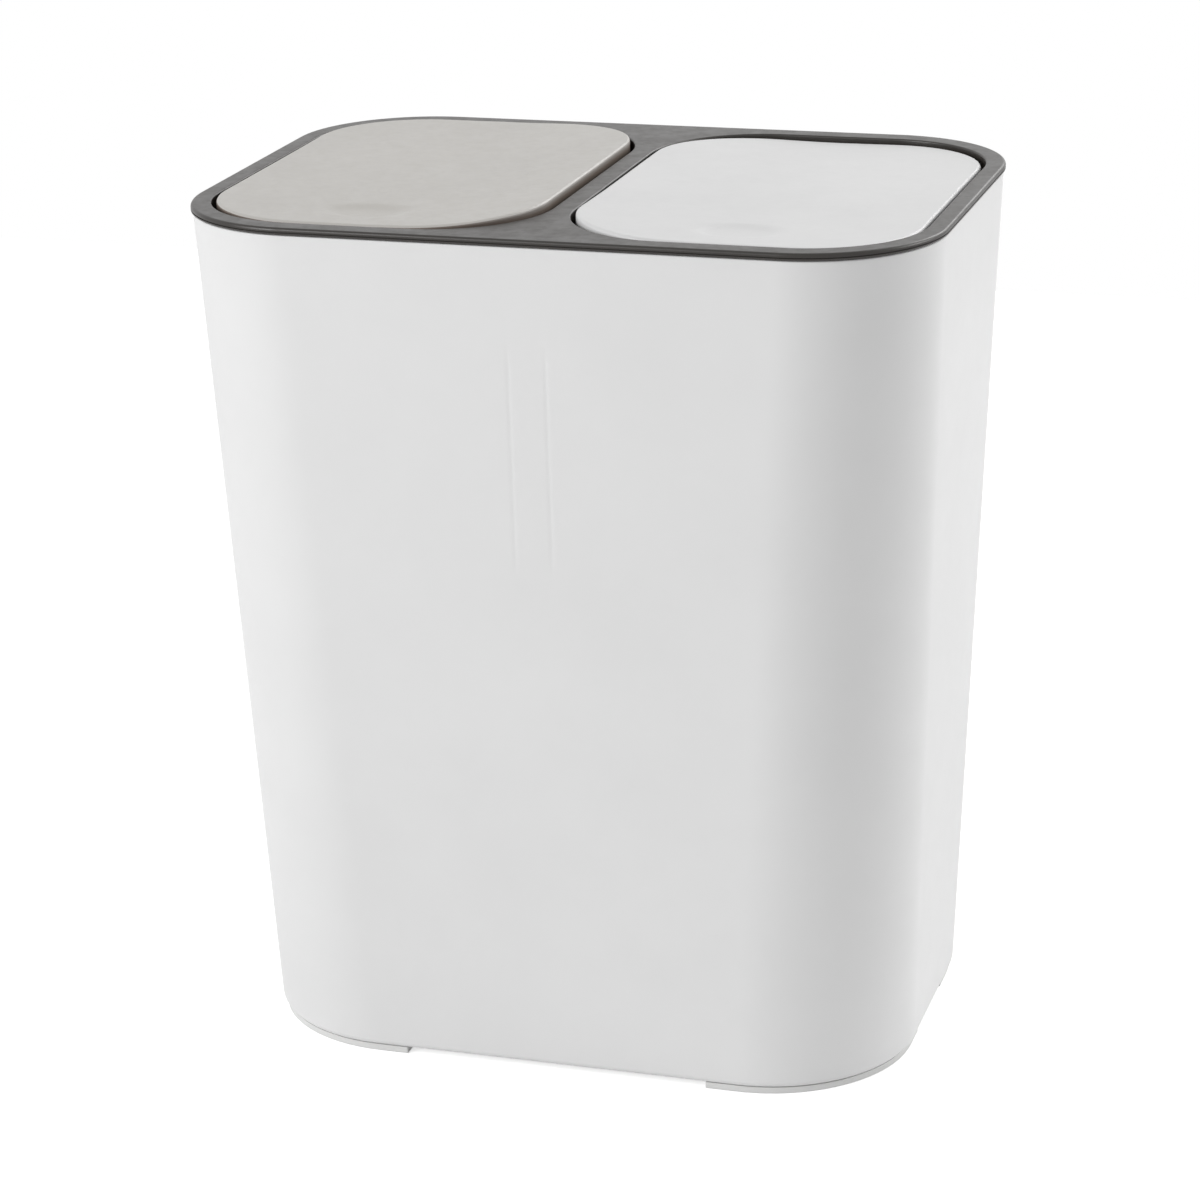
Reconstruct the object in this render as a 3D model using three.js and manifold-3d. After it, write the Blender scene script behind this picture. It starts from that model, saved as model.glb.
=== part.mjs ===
// A double recycling bin: one tapered tub on four corner feet, two lift-out inner buckets, and a lid frame
// that carries two press lids. Each lid turns on steel pins, is lifted by a torsion spring and is held shut
// by a small press latch under its front edge.
//
// Millimetres. +Z is up and the front faces -Y. The origin is on the floor, under the lid frame's middle.

import * as THREE from "three";
import { mergeVertices } from "three/addons/utils/BufferGeometryUtils.js";
import Module from "manifold-3d";

const wasm = await Module();
wasm.setup();

// ---------------------------------------------------------------- driving dimensions

// The whole bin.
const frameWidth = 300;
const frameDepth = 213.5;
const frameCornerRadius = 53.4;
const frameTop = 346.2; // floor to the top face of the lid frame

// The tub.
const sideDraft = 14.4; // how far the base stands in from the frame's edge, at each side
const frontDraft = 11.55; // and at the front and back
const bottomCornerRadius = 60;
const bodyWall = 2.2;
const bodyFloor = 2.5;
const bodyEdgeRadius = 3; // round between the walls and the base
const bodyLipRadius = 0.7;
const bodyInnerFillet = 4;

// Two pairs of guide ribs inside the front and back walls, which keep the buckets apart.
const ribSpacing = 14.8; // middle to middle
const ribThickness = 1.4;
const ribReach = 7;
const ribLength = 86;
const ribLap = 0.8; // how far the ribs reach up beside the buckets' lips

// The corner feet.
const footHeight = 2.84;
const footInset = 1.5;
const footWidth = 13;
const footFrontReach = 12.5; // straight part past each end of the corner's round
const footEdge = 0.6;
const footPegRadius = 3;
const footPegCover = 0.8; // floor left above each peg

// The lid frame.
const flangeThickness = 2.8;
const flangeOverhang = 0.8; // past the tub's top edge
const flangeEdgeRadius = 1.2;
const flangeLowerEdge = 0.5;
const sideBand = 7.7;
const frontBand = 9.4;
const backBand = 9.8;
const centreBar = 9;
const openingCornerRadius = 45;
const openingEdgeRadius = 0.8;
const wellWall = 1.6; // wall round each opening
const wellBelowBoss = 2; // wall below the hinge bosses
const skirtWall = 1.6; // wall that locates the frame inside the tub
const skirtDepth = 12;

// The press lids. Their thin panels are a little warped, so each edge stands at its own height.
const lidGap = 1.9; // all round, in the opening
const lidThickness = 2.2;
const lidEdgeRadius = 1;
const lidSkirtDepth = 6.5;
const lidSkirtWall = 1.5;
const dimpleSetback = 24; // lid's front edge to the dimple's middle
const dimpleWidth = 30;
const dimpleLength = 19;
const dimpleDepth = 1;
const dimpleBall = 6; // half height of the ellipsoid that the dimple is part of
const greyLidHeights = { base: 0, inner: 3, outer: 1, back: 1.2, front: 0, innerFront: 0 };
const whiteLidHeights = { base: -1, inner: 2, outer: 0, back: -1, front: 0.5, innerFront: 2 };
const cornerCalm = 0.5; // share of the front and back rise that reaches the lid's corners
const panelRings = [48, 24, 8]; // insets of the rings of points that let a panel bend

// The hinge of each lid.
const hingeFromBack = 43; // back edge of the opening to the hinge line
const hingeBelowPanel = 2; // air between a level panel and the spring's coil
const hingePinRadius = 1.5;
const hingePinClearance = 0.25;
const hingeBossRadius = 5;
const earRadius = 4.5;
const earThickness = 3;
const earInset = 10; // lid's edge to the ear's outer face

// The torsion springs.
const liftWire = 0.9;
const liftCoilGap = 0.4; // pin to coil
const liftTurns = 4;
const liftLegLength = 15;
const liftLegEntry = 2.6; // how far the fixed leg reaches into the frame

// The press latches.
const latchBelowSkirt = 1; // a pressed lid's skirt to the housing's mouth
const springRoom = 2.4; // below a pressed plunger
const housingWall = 1.6;
const plungerLength = 9.6;
const plungerProud = 0.5; // above the housing's mouth
const plungerJaw = 4.3;
const plungerSlotDepth = 5.5;
const plungerBase = 4; // solid below the slot
const plungerBoreDepth = 2.2;
const plungerTabHeight = 1.5;
const plungerTabReach = 1.2;
const pressTravel = 2;
const strikerThickness = 3;
const strikerLength = 5;
const latchSpringRadius = 2.4;
const latchWire = 0.5;
const latchTurns = 5;
const mountEarMargin = 0.9; // round each screw's head
const mountEarThickness = 1.6;
const mountEarHeight = 10;
const screwRadius = 1.1;
const screwHeadRadius = 2.3;
const screwHeadHeight = 1.5;
const screwShort = 0.8; // screw's tip to the end of its boss
const screwPointLength = 0.8;
const screwPointRadius = 0.45;
const screwSlotReach = 1.4;
const screwSlotWidth = 0.6;
const screwSlotDepth = 0.8;
const screwHeadCrown = 0.15;
const screwBossRadius = 3;
const screwBossLength = 2.2;

// The inner buckets.
const bucketLift = 8; // free lift before a bucket meets the latches
const bucketHeadroom = 1.5; // left above a lifted bucket
const bucketWall = 1.5;
const bucketFloor = 1.6;
const bucketLipDepth = 9;
const bucketLipWall = 1.4;
const bucketRimWidth = 4.2; // lip's outer face to the bucket's wall
const bucketRimThickness = 1.6;
const bucketEdgeRadius = 0.5;
const bucketInnerDraft = 3; // slope of the inner wall, top to bottom
const bucketInnerCorner = 16;
const bucketFloorRadius = 8;

// Clearances.
const seatGap = 0.3; // between pieces that rest on each other
const slideGap = 0.4; // between pieces that slide past each other
const bucketGap = 1.2; // bucket's rim to the tub's wall
const ribGap = 0.5; // bucket's lip to the guide ribs

// How finely round shapes are divided.
const cornerSteps = 8;
const roundSides = 16;
const springSides = 5;
const stepsPerTurn = 8;
const roundMiddle = 1 - Math.SQRT1_2; // a round's middle point to its two tangents, as a share of its radius

// ---------------------------------------------------------------- places worked out from them

const bodyTop = frameTop - flangeThickness - seatGap;
const footPegLength = bodyFloor - footPegCover - seatGap;
const frameBox = centredBox(frameWidth, frameDepth, frameCornerRadius);
const bodyTopBox = insetBox(frameBox, flangeOverhang);
const bottomWidth = frameWidth - 2 * sideDraft;
const bottomDepth = frameDepth - 2 * frontDraft;
const bodyBottomBox = centredBox(bottomWidth, bottomDepth, bottomCornerRadius);

const openingInner = centreBar / 2; // X of the opening's side by the centre bar
const openingOuter = frameWidth / 2 - sideBand;
const openingFront = -frameDepth / 2 + frontBand;
const openingBack = frameDepth / 2 - backBand;
const lidCentreX = (openingInner + openingOuter) / 2;
const lidHalfWidth = (openingOuter - openingInner) / 2 - lidGap;
const lidFront = openingFront + lidGap;
const lidBack = openingBack - lidGap;
const lidCentreY = (lidFront + lidBack) / 2;
const lidHalfDepth = (lidBack - lidFront) / 2;

const liftCoilRadius = hingePinRadius + liftCoilGap + liftWire / 2;
const liftCoilOuter = liftCoilRadius + liftWire / 2;
const hingeDrop = lidThickness + hingeBelowPanel + liftCoilOuter; // frame top to the hinge line
const hingeY = openingBack - hingeFromBack;
const hingeZ = frameTop - hingeDrop;
const wellDepth = hingeDrop + hingeBossRadius + wellBelowBoss;
const pinHoleRadius = hingePinRadius + hingePinClearance;
const earOuterX = lidHalfWidth - earInset; // from the lid's middle
const earInnerX = earOuterX - earThickness;
const skirtBox = insetBox(bodyBoxAt(frameTop - skirtDepth), bodyWall + slideGap);
const liftCoilStart = lidHalfWidth - lidSkirtWall - seatGap - liftWire; // beside the lid's skirt
const liftCoilEnd = earOuterX + liftWire / 2 + slideGap;
const skirtNotchRadius = liftCoilOuter + slideGap;

const plungerSlotHalf = strikerThickness / 2 + slideGap;
const plungerWidth = 2 * (plungerSlotHalf + plungerJaw);
const plungerHeight = plungerSlotDepth + plungerBase;
const plungerBoreRadius = latchSpringRadius + latchWire / 2 + slideGap;
const housingHeight = plungerHeight - plungerProud + pressTravel + springRoom + housingWall;
const latchDrop = lidSkirtDepth + pressTravel + latchBelowSkirt; // frame top to the housing's mouth
const latchTop = frameTop - latchDrop;
const housingBottom = latchTop - housingHeight;
const housingFloorTop = housingBottom + housingWall;
const housingFront = openingFront + seatGap;
const housingCavityWidth = plungerWidth + 2 * slideGap;
const housingWidth = housingCavityWidth + 2 * housingWall;
const housingCavityFront = housingFront + housingWall;
const housingCavityBack = housingCavityFront + plungerLength + 2 * slideGap;
const housingBack = housingCavityBack + housingWall;
const plungerFront = housingCavityFront + slideGap;
const plungerCentreY = plungerFront + plungerLength / 2;
const plungerTop = latchTop + plungerProud;
const plungerSlotBottom = plungerTop - plungerSlotDepth;
const plungerBottom = plungerSlotBottom - plungerBase;
const plungerTabTop = plungerBottom + plungerTabHeight + slideGap;
const strikerTip = plungerSlotBottom + seatGap;
const mountEarWidth = 2 * (screwHeadRadius + mountEarMargin);
const mountEarX = housingWidth / 2 + mountEarWidth / 2;
const mountEarZ = latchTop - housingHeight / 2;
const screwHeadY = housingFront + mountEarThickness + seatGap;
const screwLength = screwHeadY - openingFront + wellWall + screwBossLength - screwShort;

const bucketRimTop = housingBottom - bucketHeadroom - bucketLift;
const bucketBottom = footHeight + bodyFloor + seatGap;
const bucketLipInnerX = ribSpacing / 2 + ribThickness / 2 + ribGap;
const ribTop = bucketRimTop - bucketLipDepth + ribLap;
const ribBottom = ribTop - ribLength;

// ---------------------------------------------------------------- finishes

const finishes = {
  body: finish("white_body", 0xdedede, 0.5),
  foot: finish("foot_pad", 0xcfcfcd, 0.7),
  bucket: finish("bucket", 0xc9cac8, 0.55),
  frame: finish("frame_taupe", 0x88857f, 0.45),
  greyLid: finish("lid_grey", 0xc5c1be, 0.35),
  whiteLid: finish("lid_white", 0xdcdcdc, 0.35),
  latch: finish("latch_plastic", 0x2f2f30, 0.5),
  steel: finish("steel", 0xb8b9ba, 0.3, 1),
};

function finish(name, color, roughness, metalness = 0) {
  const material = new THREE.MeshStandardMaterial({ color, roughness, metalness });
  material.name = name;
  return material;
}

// ---------------------------------------------------------------- outlines and rings

// A rounded rectangle in plan. radii holds the front left, front right, back right and back left corners.
function planBox(x0, x1, y0, y1, radii) {
  return { x0, x1, y0, y1, radii };
}

function centredBox(width, depth, radius) {
  return planBox(-width / 2, width / 2, -depth / 2, depth / 2, [radius, radius, radius, radius]);
}

// The same outline moved inwards by inset, or outwards where it is negative.
function insetBox(box, inset) {
  const smallest = 0.2;
  return planBox(
    box.x0 + inset,
    box.x1 - inset,
    box.y0 + inset,
    box.y1 - inset,
    box.radii.map((r) => Math.max(r - inset, smallest)),
  );
}

// The outline a share of the way from one to another.
function blendBox(from, to, share) {
  const mix = (a, b) => a + (b - a) * share;
  return planBox(
    mix(from.x0, to.x0),
    mix(from.x1, to.x1),
    mix(from.y0, to.y0),
    mix(from.y1, to.y1),
    from.radii.map((r, i) => mix(r, to.radii[i])),
  );
}

// The tub's outer outline at a height.
function bodyBoxAt(z) {
  return blendBox(bodyBottomBox, bodyTopBox, (z - footHeight) / (bodyTop - footHeight));
}

// A ring of points round an outline, counter-clockwise, the same number for every outline.
function ring(box, inset, z) {
  const b = insetBox(box, inset);
  const [frontLeft, frontRight, backRight, backLeft] = b.radii;
  const corners = [
    [b.x0 + frontLeft, b.y0 + frontLeft, frontLeft, Math.PI],
    [b.x1 - frontRight, b.y0 + frontRight, frontRight, 1.5 * Math.PI],
    [b.x1 - backRight, b.y1 - backRight, backRight, 0],
    [b.x0 + backLeft, b.y1 - backLeft, backLeft, 0.5 * Math.PI],
  ];
  return corners.flatMap(([x, y, r, start]) =>
    new THREE.EllipseCurve(x, y, r, r, start, start + Math.PI / 2)
      .getPoints(cornerSteps)
      .map((p) => new THREE.Vector3(p.x, p.y, z)),
  );
}

function rectangleRing(x0, x1, y0, y1, z) {
  return [
    new THREE.Vector3(x0, y0, z),
    new THREE.Vector3(x1, y0, z),
    new THREE.Vector3(x1, y1, z),
    new THREE.Vector3(x0, y1, z),
  ];
}

// Joins rings, one after another, into a closed surface. An open chain gets a fan of faces over its first
// and last rings; a closed chain joins its last ring to its first, as a tube wall does.
function loft(rings, closed = false) {
  const count = rings[0].length;
  const points = rings.flat();
  const index = [];
  const pairs = closed ? rings.length : rings.length - 1;
  for (let i = 0; i < pairs; i++) {
    const low = i * count;
    const high = ((i + 1) % rings.length) * count;
    for (let k = 0; k < count; k++) {
      const next = (k + 1) % count;
      index.push(low + k, low + next, high + next);
      index.push(low + k, high + next, high + k);
    }
  }
  if (!closed) {
    const last = (rings.length - 1) * count;
    const bottomMiddle = points.length;
    points.push(middleOf(rings[0]), middleOf(rings[rings.length - 1]));
    for (let k = 0; k < count; k++) {
      const next = (k + 1) % count;
      index.push(bottomMiddle, next, k);
      index.push(bottomMiddle + 1, last + k, last + next);
    }
  }
  const geometry = new THREE.BufferGeometry().setFromPoints(points);
  geometry.setIndex(index);
  return geometry;
}

function middleOf(points) {
  const box = new THREE.Box3().setFromPoints(points);
  return box.getCenter(new THREE.Vector3());
}

// ---------------------------------------------------------------- solids

function toSolid(geometry) {
  const bare = geometry.clone();
  bare.deleteAttribute("normal");
  bare.deleteAttribute("uv");
  const merged = mergeVertices(bare, 1e-4);
  return new wasm.Manifold(
    new wasm.Mesh({
      numProp: 3,
      vertProperties: merged.attributes.position.array,
      triVerts: new Uint32Array(merged.index.array),
    }),
  );
}

function toGeometry(solid) {
  const mesh = solid.getMesh();
  const geometry = new THREE.BufferGeometry();
  geometry.setAttribute("position", new THREE.BufferAttribute(mesh.vertProperties, 3));
  geometry.setIndex(new THREE.BufferAttribute(mesh.triVerts, 1));
  return geometry;
}

// The first shape with the others joined to it or cut from it.
function join(first, ...others) {
  return others.reduce((sum, other) => sum.add(other), first);
}

function cut(first, ...others) {
  return others.reduce((rest, other) => rest.subtract(other), first);
}

function block(x0, x1, y0, y1, z0, z1) {
  const geometry = new THREE.BoxGeometry(x1 - x0, y1 - y0, z1 - z0);
  geometry.translate((x0 + x1) / 2, (y0 + y1) / 2, (z0 + z1) / 2);
  return toSolid(geometry);
}

// A round bar along X, between two places given in either order.
function barX(radius, xa, xb, y, z) {
  const geometry = new THREE.CylinderGeometry(radius, radius, Math.abs(xb - xa), roundSides);
  geometry.rotateZ(Math.PI / 2);
  geometry.translate((xa + xb) / 2, y, z);
  return toSolid(geometry);
}

function barY(radius, ya, yb, x, z) {
  const geometry = new THREE.CylinderGeometry(radius, radius, Math.abs(yb - ya), roundSides);
  geometry.translate(x, (ya + yb) / 2, z);
  return toSolid(geometry);
}

function barZ(radius, za, zb, x, y) {
  const geometry = new THREE.CylinderGeometry(radius, radius, Math.abs(zb - za), roundSides);
  geometry.rotateX(Math.PI / 2);
  geometry.translate(x, y, (za + zb) / 2);
  return toSolid(geometry);
}

// A round wire along a curve.
function wire(curve, thickness, steps) {
  const section = new THREE.Shape(
    Array.from({ length: springSides }, (_, i) => {
      const angle = (2 * Math.PI * i) / springSides;
      return new THREE.Vector2(Math.cos(angle), Math.sin(angle)).multiplyScalar(thickness / 2);
    }),
  );
  return toSolid(new THREE.ExtrudeGeometry(section, { steps, bevelEnabled: false, extrudePath: curve }));
}

// ---------------------------------------------------------------- the tub and its feet

function footPegPlaces() {
  const fromCorner = bottomCornerRadius - footInset - footWidth / 2;
  const x = bottomWidth / 2 - bottomCornerRadius + fromCorner * Math.SQRT1_2;
  const y = bottomDepth / 2 - bottomCornerRadius + fromCorner * Math.SQRT1_2;
  return { x, y };
}

function guideRib(x, side) {
  const ringAt = (z) => {
    const wallY = side * (bodyBoxAt(z).y1 - bodyWall / 2);
    const reachY = side * (bodyBoxAt(z).y1 - bodyWall - ribReach);
    const [y0, y1] = [Math.min(wallY, reachY), Math.max(wallY, reachY)];
    return rectangleRing(x - ribThickness / 2, x + ribThickness / 2, y0, y1, z);
  };
  return toSolid(loft([ringAt(ribBottom), ringAt(ribTop)]));
}

function makeBody() {
  const edge = bodyEdgeRadius;
  const lip = bodyLipRadius;
  const floorTop = footHeight + bodyFloor;
  const shell = toSolid(
    loft([
      ring(bodyBoxAt(footHeight), edge, footHeight),
      ring(bodyBoxAt(footHeight), edge * roundMiddle, footHeight + edge * roundMiddle),
      ring(bodyBoxAt(footHeight + edge), 0, footHeight + edge),
      ring(bodyBoxAt(bodyTop - lip), 0, bodyTop - lip),
      ring(bodyBoxAt(bodyTop), lip, bodyTop),
      ring(bodyBoxAt(bodyTop), bodyWall - lip, bodyTop),
      ring(bodyBoxAt(bodyTop - lip), bodyWall, bodyTop - lip),
      ring(bodyBoxAt(floorTop + bodyInnerFillet), bodyWall, floorTop + bodyInnerFillet),
      ring(bodyBoxAt(floorTop), bodyWall + bodyInnerFillet, floorTop),
    ]),
  );
  const ribs = [-1, 1].flatMap((side) => [-1, 1].map((hand) => guideRib((hand * ribSpacing) / 2, side)));
  const peg = footPegPlaces();
  const holeDepth = footPegLength + seatGap;
  const holes = [-1, 1].flatMap((sx) =>
    [-1, 1].map((sy) =>
      barZ(footPegRadius + slideGap, footHeight - seatGap, footHeight + holeDepth, sx * peg.x, sy * peg.y),
    ),
  );
  return cut(join(shell, ...ribs), ...holes);
}

// A pad that follows the tub's corner, with a peg up into the floor.
function makeFoot(sideX, sideY) {
  const outline = bodyBoxAt(footHeight);
  const pad = toSolid(
    loft(
      [
        ring(outline, footInset + footEdge, 0),
        ring(outline, footInset, footEdge),
        ring(outline, footInset, footHeight),
        ring(outline, footInset + footWidth, footHeight),
        ring(outline, footInset + footWidth, 0),
      ],
      true,
    ),
  );
  const endX = bottomWidth / 2 - bottomCornerRadius - footFrontReach;
  const endY = bottomDepth / 2 - bottomCornerRadius - footFrontReach;
  const far = Math.max(bottomWidth, bottomDepth);
  const corner = block(
    Math.min(sideX * endX, sideX * far),
    Math.max(sideX * endX, sideX * far),
    Math.min(sideY * endY, sideY * far),
    Math.max(sideY * endY, sideY * far),
    -footHeight,
    2 * footHeight,
  );
  const place = footPegPlaces();
  const pegTop = footHeight + footPegLength;
  const peg = barZ(footPegRadius, footHeight / 2, pegTop, sideX * place.x, sideY * place.y);
  return join(pad.intersect(corner), peg);
}

// ---------------------------------------------------------------- the inner buckets

// The space that one bucket has at a height: the tub's wall on three sides, the guide ribs on the fourth.
function bucketBoxAt(z, side) {
  const space = insetBox(bodyBoxAt(z), bodyWall + bucketGap);
  const share = (bucketRimTop - z) / (bucketRimTop - bucketBottom);
  const innerX = bucketLipInnerX + bucketInnerDraft * Math.max(share, 0);
  const outerRadius = space.radii[0];
  return side > 0
    ? planBox(innerX, space.x1, space.y0, space.y1, [
        bucketInnerCorner,
        outerRadius,
        outerRadius,
        bucketInnerCorner,
      ])
    : planBox(space.x0, -innerX, space.y0, space.y1, [
        outerRadius,
        bucketInnerCorner,
        bucketInnerCorner,
        outerRadius,
      ]);
}

function makeBucket(side) {
  const at = (z, inset) => ring(bucketBoxAt(z, side), inset, z);
  const lipBox = bucketBoxAt(bucketRimTop - bucketLipDepth, side);
  const outer = bucketRimWidth;
  const inner = bucketRimWidth + bucketWall;
  const base = bucketBottom;
  const floorTop = bucketBottom + bucketFloor;
  const round = bucketFloorRadius;
  const edge = bucketEdgeRadius;
  const rimUnderside = bucketRimTop - bucketRimThickness;
  return toSolid(
    loft([
      at(base, outer + round),
      at(base + round * roundMiddle, outer + round * roundMiddle),
      at(base + round, outer),
      at(rimUnderside, outer),
      ring(lipBox, bucketLipWall, rimUnderside),
      ring(lipBox, bucketLipWall, bucketRimTop - bucketLipDepth),
      ring(lipBox, 0, bucketRimTop - bucketLipDepth),
      ring(lipBox, 0, bucketRimTop - edge),
      ring(lipBox, edge, bucketRimTop),
      at(bucketRimTop, inner - edge),
      at(bucketRimTop - edge, inner),
      at(floorTop + round, inner),
      at(floorTop + round * roundMiddle, inner + round * roundMiddle),
      at(floorTop, inner + round),
    ]),
  );
}

// ---------------------------------------------------------------- the lid frame

function openingBox(side) {
  const radii = Array(4).fill(openingCornerRadius);
  return side > 0
    ? planBox(openingInner, openingOuter, openingFront, openingBack, radii)
    : planBox(-openingOuter, -openingInner, openingFront, openingBack, radii);
}

function screwPlaces(side) {
  return [-1, 1].map((hand) => side * lidCentreX + hand * mountEarX);
}

function makeLidFrame() {
  const underside = frameTop - flangeThickness;
  const edge = flangeEdgeRadius;
  const flange = toSolid(
    loft([
      ring(frameBox, flangeLowerEdge, underside),
      ring(frameBox, 0, underside + flangeLowerEdge),
      ring(frameBox, 0, frameTop - edge),
      ring(frameBox, edge * roundMiddle, frameTop - edge * roundMiddle),
      ring(frameBox, edge, frameTop),
    ]),
  );
  const skirt = toSolid(
    loft(
      [
        ring(skirtBox, 0, frameTop - skirtDepth),
        ring(skirtBox, 0, underside + flangeThickness / 2),
        ring(skirtBox, skirtWall, underside + flangeThickness / 2),
        ring(skirtBox, skirtWall, frameTop - skirtDepth),
      ],
      true,
    ),
  );
  const additions = [-1, 1].flatMap((side) => [wellBlank(side), latchApron(side), outerBoss(side)]);
  const centreBoss = barX(hingeBossRadius, -openingInner, openingInner, hingeY, hingeZ);
  const bosses = [-1, 1].flatMap((side) => screwPlaces(side).map(screwBoss));
  const whole = join(flange, skirt, ...additions, ...bosses);
  const opened = cut(whole, openingCutter(-1), openingCutter(1));
  const holes = [-1, 1].flatMap((side) => [
    springLegHole(side),
    ...screwPlaces(side).map((x) => screwHole(x)),
  ]);
  const farEnd = frameWidth / 2;
  return cut(join(opened, centreBoss), barX(pinHoleRadius, -farEnd, farEnd, hingeY, hingeZ), ...holes);
}

function wellBlank(side) {
  const box = openingBox(side);
  return toSolid(
    loft([
      ring(box, -wellWall, frameTop - wellDepth),
      ring(box, -wellWall, frameTop - flangeThickness / 2),
    ]),
  );
}

function openingCutter(side) {
  const box = openingBox(side);
  const round = openingEdgeRadius;
  return toSolid(
    loft([
      ring(box, 0, housingBottom - housingHeight),
      ring(box, 0, frameTop - round),
      ring(box, -round * roundMiddle, frameTop - round * roundMiddle),
      ring(box, -round, frameTop),
      ring(box, -round, frameTop + flangeThickness),
    ]),
  );
}

// Thickens the side wall round the outer hinge pin, out to the locating skirt.
function outerBoss(side) {
  const inside = side * (openingOuter - wellWall);
  const outside = side * (skirtBox.x1 - skirtWall / 2);
  return barX(hingeBossRadius, inside, outside, hingeY, hingeZ);
}

// The tongue of wall that hangs down behind the latch housing, and the bosses for its screws.
function latchApron(side) {
  const halfWidth = mountEarX + mountEarWidth / 2 + mountEarThickness;
  const middle = side * lidCentreX;
  return block(
    middle - halfWidth,
    middle + halfWidth,
    openingFront - wellWall,
    openingFront + wellWall / 2,
    mountEarZ - mountEarHeight / 2 - seatGap,
    frameTop - wellDepth / 2,
  );
}

function screwBoss(x) {
  const wallY = openingFront - wellWall / 2;
  return barY(screwBossRadius, wallY, openingFront - wellWall - screwBossLength, x, mountEarZ);
}

function screwHole(x) {
  const radius = screwRadius + slideGap;
  return barY(radius, openingFront + wellWall, openingFront - wellWall - 2 * screwBossLength, x, mountEarZ);
}

function springLegHole(side) {
  const from = side * (openingOuter - wellWall);
  const to = side * (openingOuter + liftLegEntry + seatGap);
  return barX(liftWire / 2 + slideGap / 2, from, to, hingeY, hingeZ - liftCoilRadius);
}

// ---------------------------------------------------------------- the press lids

function lidBox(side) {
  return insetBox(openingBox(side), lidGap);
}

// How far the panel stands above the frame's top at a place in the lid.
function lidRise(heights, side, x, y) {
  const across = ((x - side * lidCentreX) * -side) / lidHalfWidth; // 1 at the centre bar
  const along = (y - lidCentreY) / lidHalfDepth; // 1 at the back
  const towardInner = Math.max(across, 0) ** 2;
  const towardOuter = Math.max(-across, 0) ** 2;
  const calm = cornerCalm + (1 - cornerCalm) * (1 - Math.min(Math.abs(across), 1));
  const towardBack = Math.max(along, 0) ** 2;
  const towardFront = Math.max(-along, 0) ** 2;
  return (
    heights.base +
    heights.inner * towardInner +
    heights.outer * towardOuter +
    (heights.back * towardBack + heights.front * towardFront) * calm +
    heights.innerFront * towardInner * towardFront
  );
}

function makeLid(side, heights) {
  const box = lidBox(side);
  const panel = lidPanel(box);
  warp(panel, heights, side);
  const middle = side * lidCentreX;
  const ears = [-1, 1].map((hand) => {
    const xa = middle + hand * earInnerX;
    const xb = middle + hand * earOuterX;
    const root = frameTop + lidRise(heights, side, xb, hingeY) - lidThickness / 2;
    return join(
      barX(earRadius, xa, xb, hingeY, hingeZ),
      block(Math.min(xa, xb), Math.max(xa, xb), hingeY - earRadius, hingeY + earRadius, hingeZ, root),
    );
  });
  const strikerRoot = frameTop + lidRise(heights, side, middle, plungerCentreY) - lidThickness / 2;
  const striker = block(
    middle - strikerThickness / 2,
    middle + strikerThickness / 2,
    plungerCentreY - strikerLength / 2,
    plungerCentreY + strikerLength / 2,
    strikerTip,
    strikerRoot,
  );
  const farSide = lidHalfWidth + lidGap;
  const pinCut = barX(pinHoleRadius, middle - farSide, middle + farSide, hingeY, hingeZ);
  const springNotch = barX(
    skirtNotchRadius,
    middle + side * (lidHalfWidth - 2 * lidSkirtWall),
    middle + side * farSide,
    hingeY,
    hingeZ,
  );
  const surface = frameTop + lidRise(heights, side, middle, lidFront + dimpleSetback);
  const body = join(toSolid(panel), ...ears, striker);
  return cut(body, pinCut, springNotch, dimpleCutter(middle, lidFront + dimpleSetback, surface));
}

// The flat panel with its rolled edge and skirt, before it is warped.
function lidPanel(box) {
  const round = lidEdgeRadius;
  const underside = frameTop - lidThickness;
  const skirtBottom = frameTop - lidSkirtDepth;
  return loft([
    ...panelRings.map((inset) => ring(box, inset, underside)),
    ring(box, lidSkirtWall, underside),
    ring(box, lidSkirtWall, skirtBottom),
    ring(box, 0, skirtBottom),
    ring(box, 0, frameTop - round),
    ring(box, round * roundMiddle, frameTop - round * roundMiddle),
    ring(box, round, frameTop),
    ...panelRings.toReversed().map((inset) => ring(box, inset, frameTop)),
  ]);
}

// Moves each point of a lid's panel up or down with the warp at its place.
function warp(geometry, heights, side) {
  const points = geometry.attributes.position;
  for (let i = 0; i < points.count; i++) {
    const rise = lidRise(heights, side, points.getX(i), points.getY(i));
    points.setZ(i, points.getZ(i) + rise);
  }
}

// An ellipsoid whose lowest part sinks the thumb dimple into the panel.
function dimpleCutter(x, y, surface) {
  const share = Math.sqrt(1 - (1 - dimpleDepth / dimpleBall) ** 2);
  const geometry = new THREE.SphereGeometry(1, roundSides * 2, roundSides);
  geometry.scale(dimpleWidth / 2 / share, dimpleLength / 2 / share, dimpleBall);
  geometry.translate(x, y, surface + dimpleBall - dimpleDepth);
  return toSolid(geometry);
}

// ---------------------------------------------------------------- hinge pins and lid springs

function pin(xa, xb) {
  const half = Math.abs(xb - xa) / 2;
  const chamfer = hingePinRadius / 4;
  const profile = [
    new THREE.Vector2(0, -half),
    new THREE.Vector2(hingePinRadius - chamfer, -half),
    new THREE.Vector2(hingePinRadius, -half + chamfer),
    new THREE.Vector2(hingePinRadius, half - chamfer),
    new THREE.Vector2(hingePinRadius - chamfer, half),
    new THREE.Vector2(0, half),
  ];
  const geometry = new THREE.LatheGeometry(profile, roundSides);
  geometry.rotateZ(Math.PI / 2);
  geometry.translate((xa + xb) / 2, hingeY, hingeZ);
  return toSolid(geometry);
}

function makeOuterPin(side) {
  return pin(side * (lidCentreX + earInnerX), side * (skirtBox.x1 - seatGap));
}

function makeCentrePin() {
  const end = lidCentreX - earInnerX;
  return pin(-end, end);
}

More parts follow.
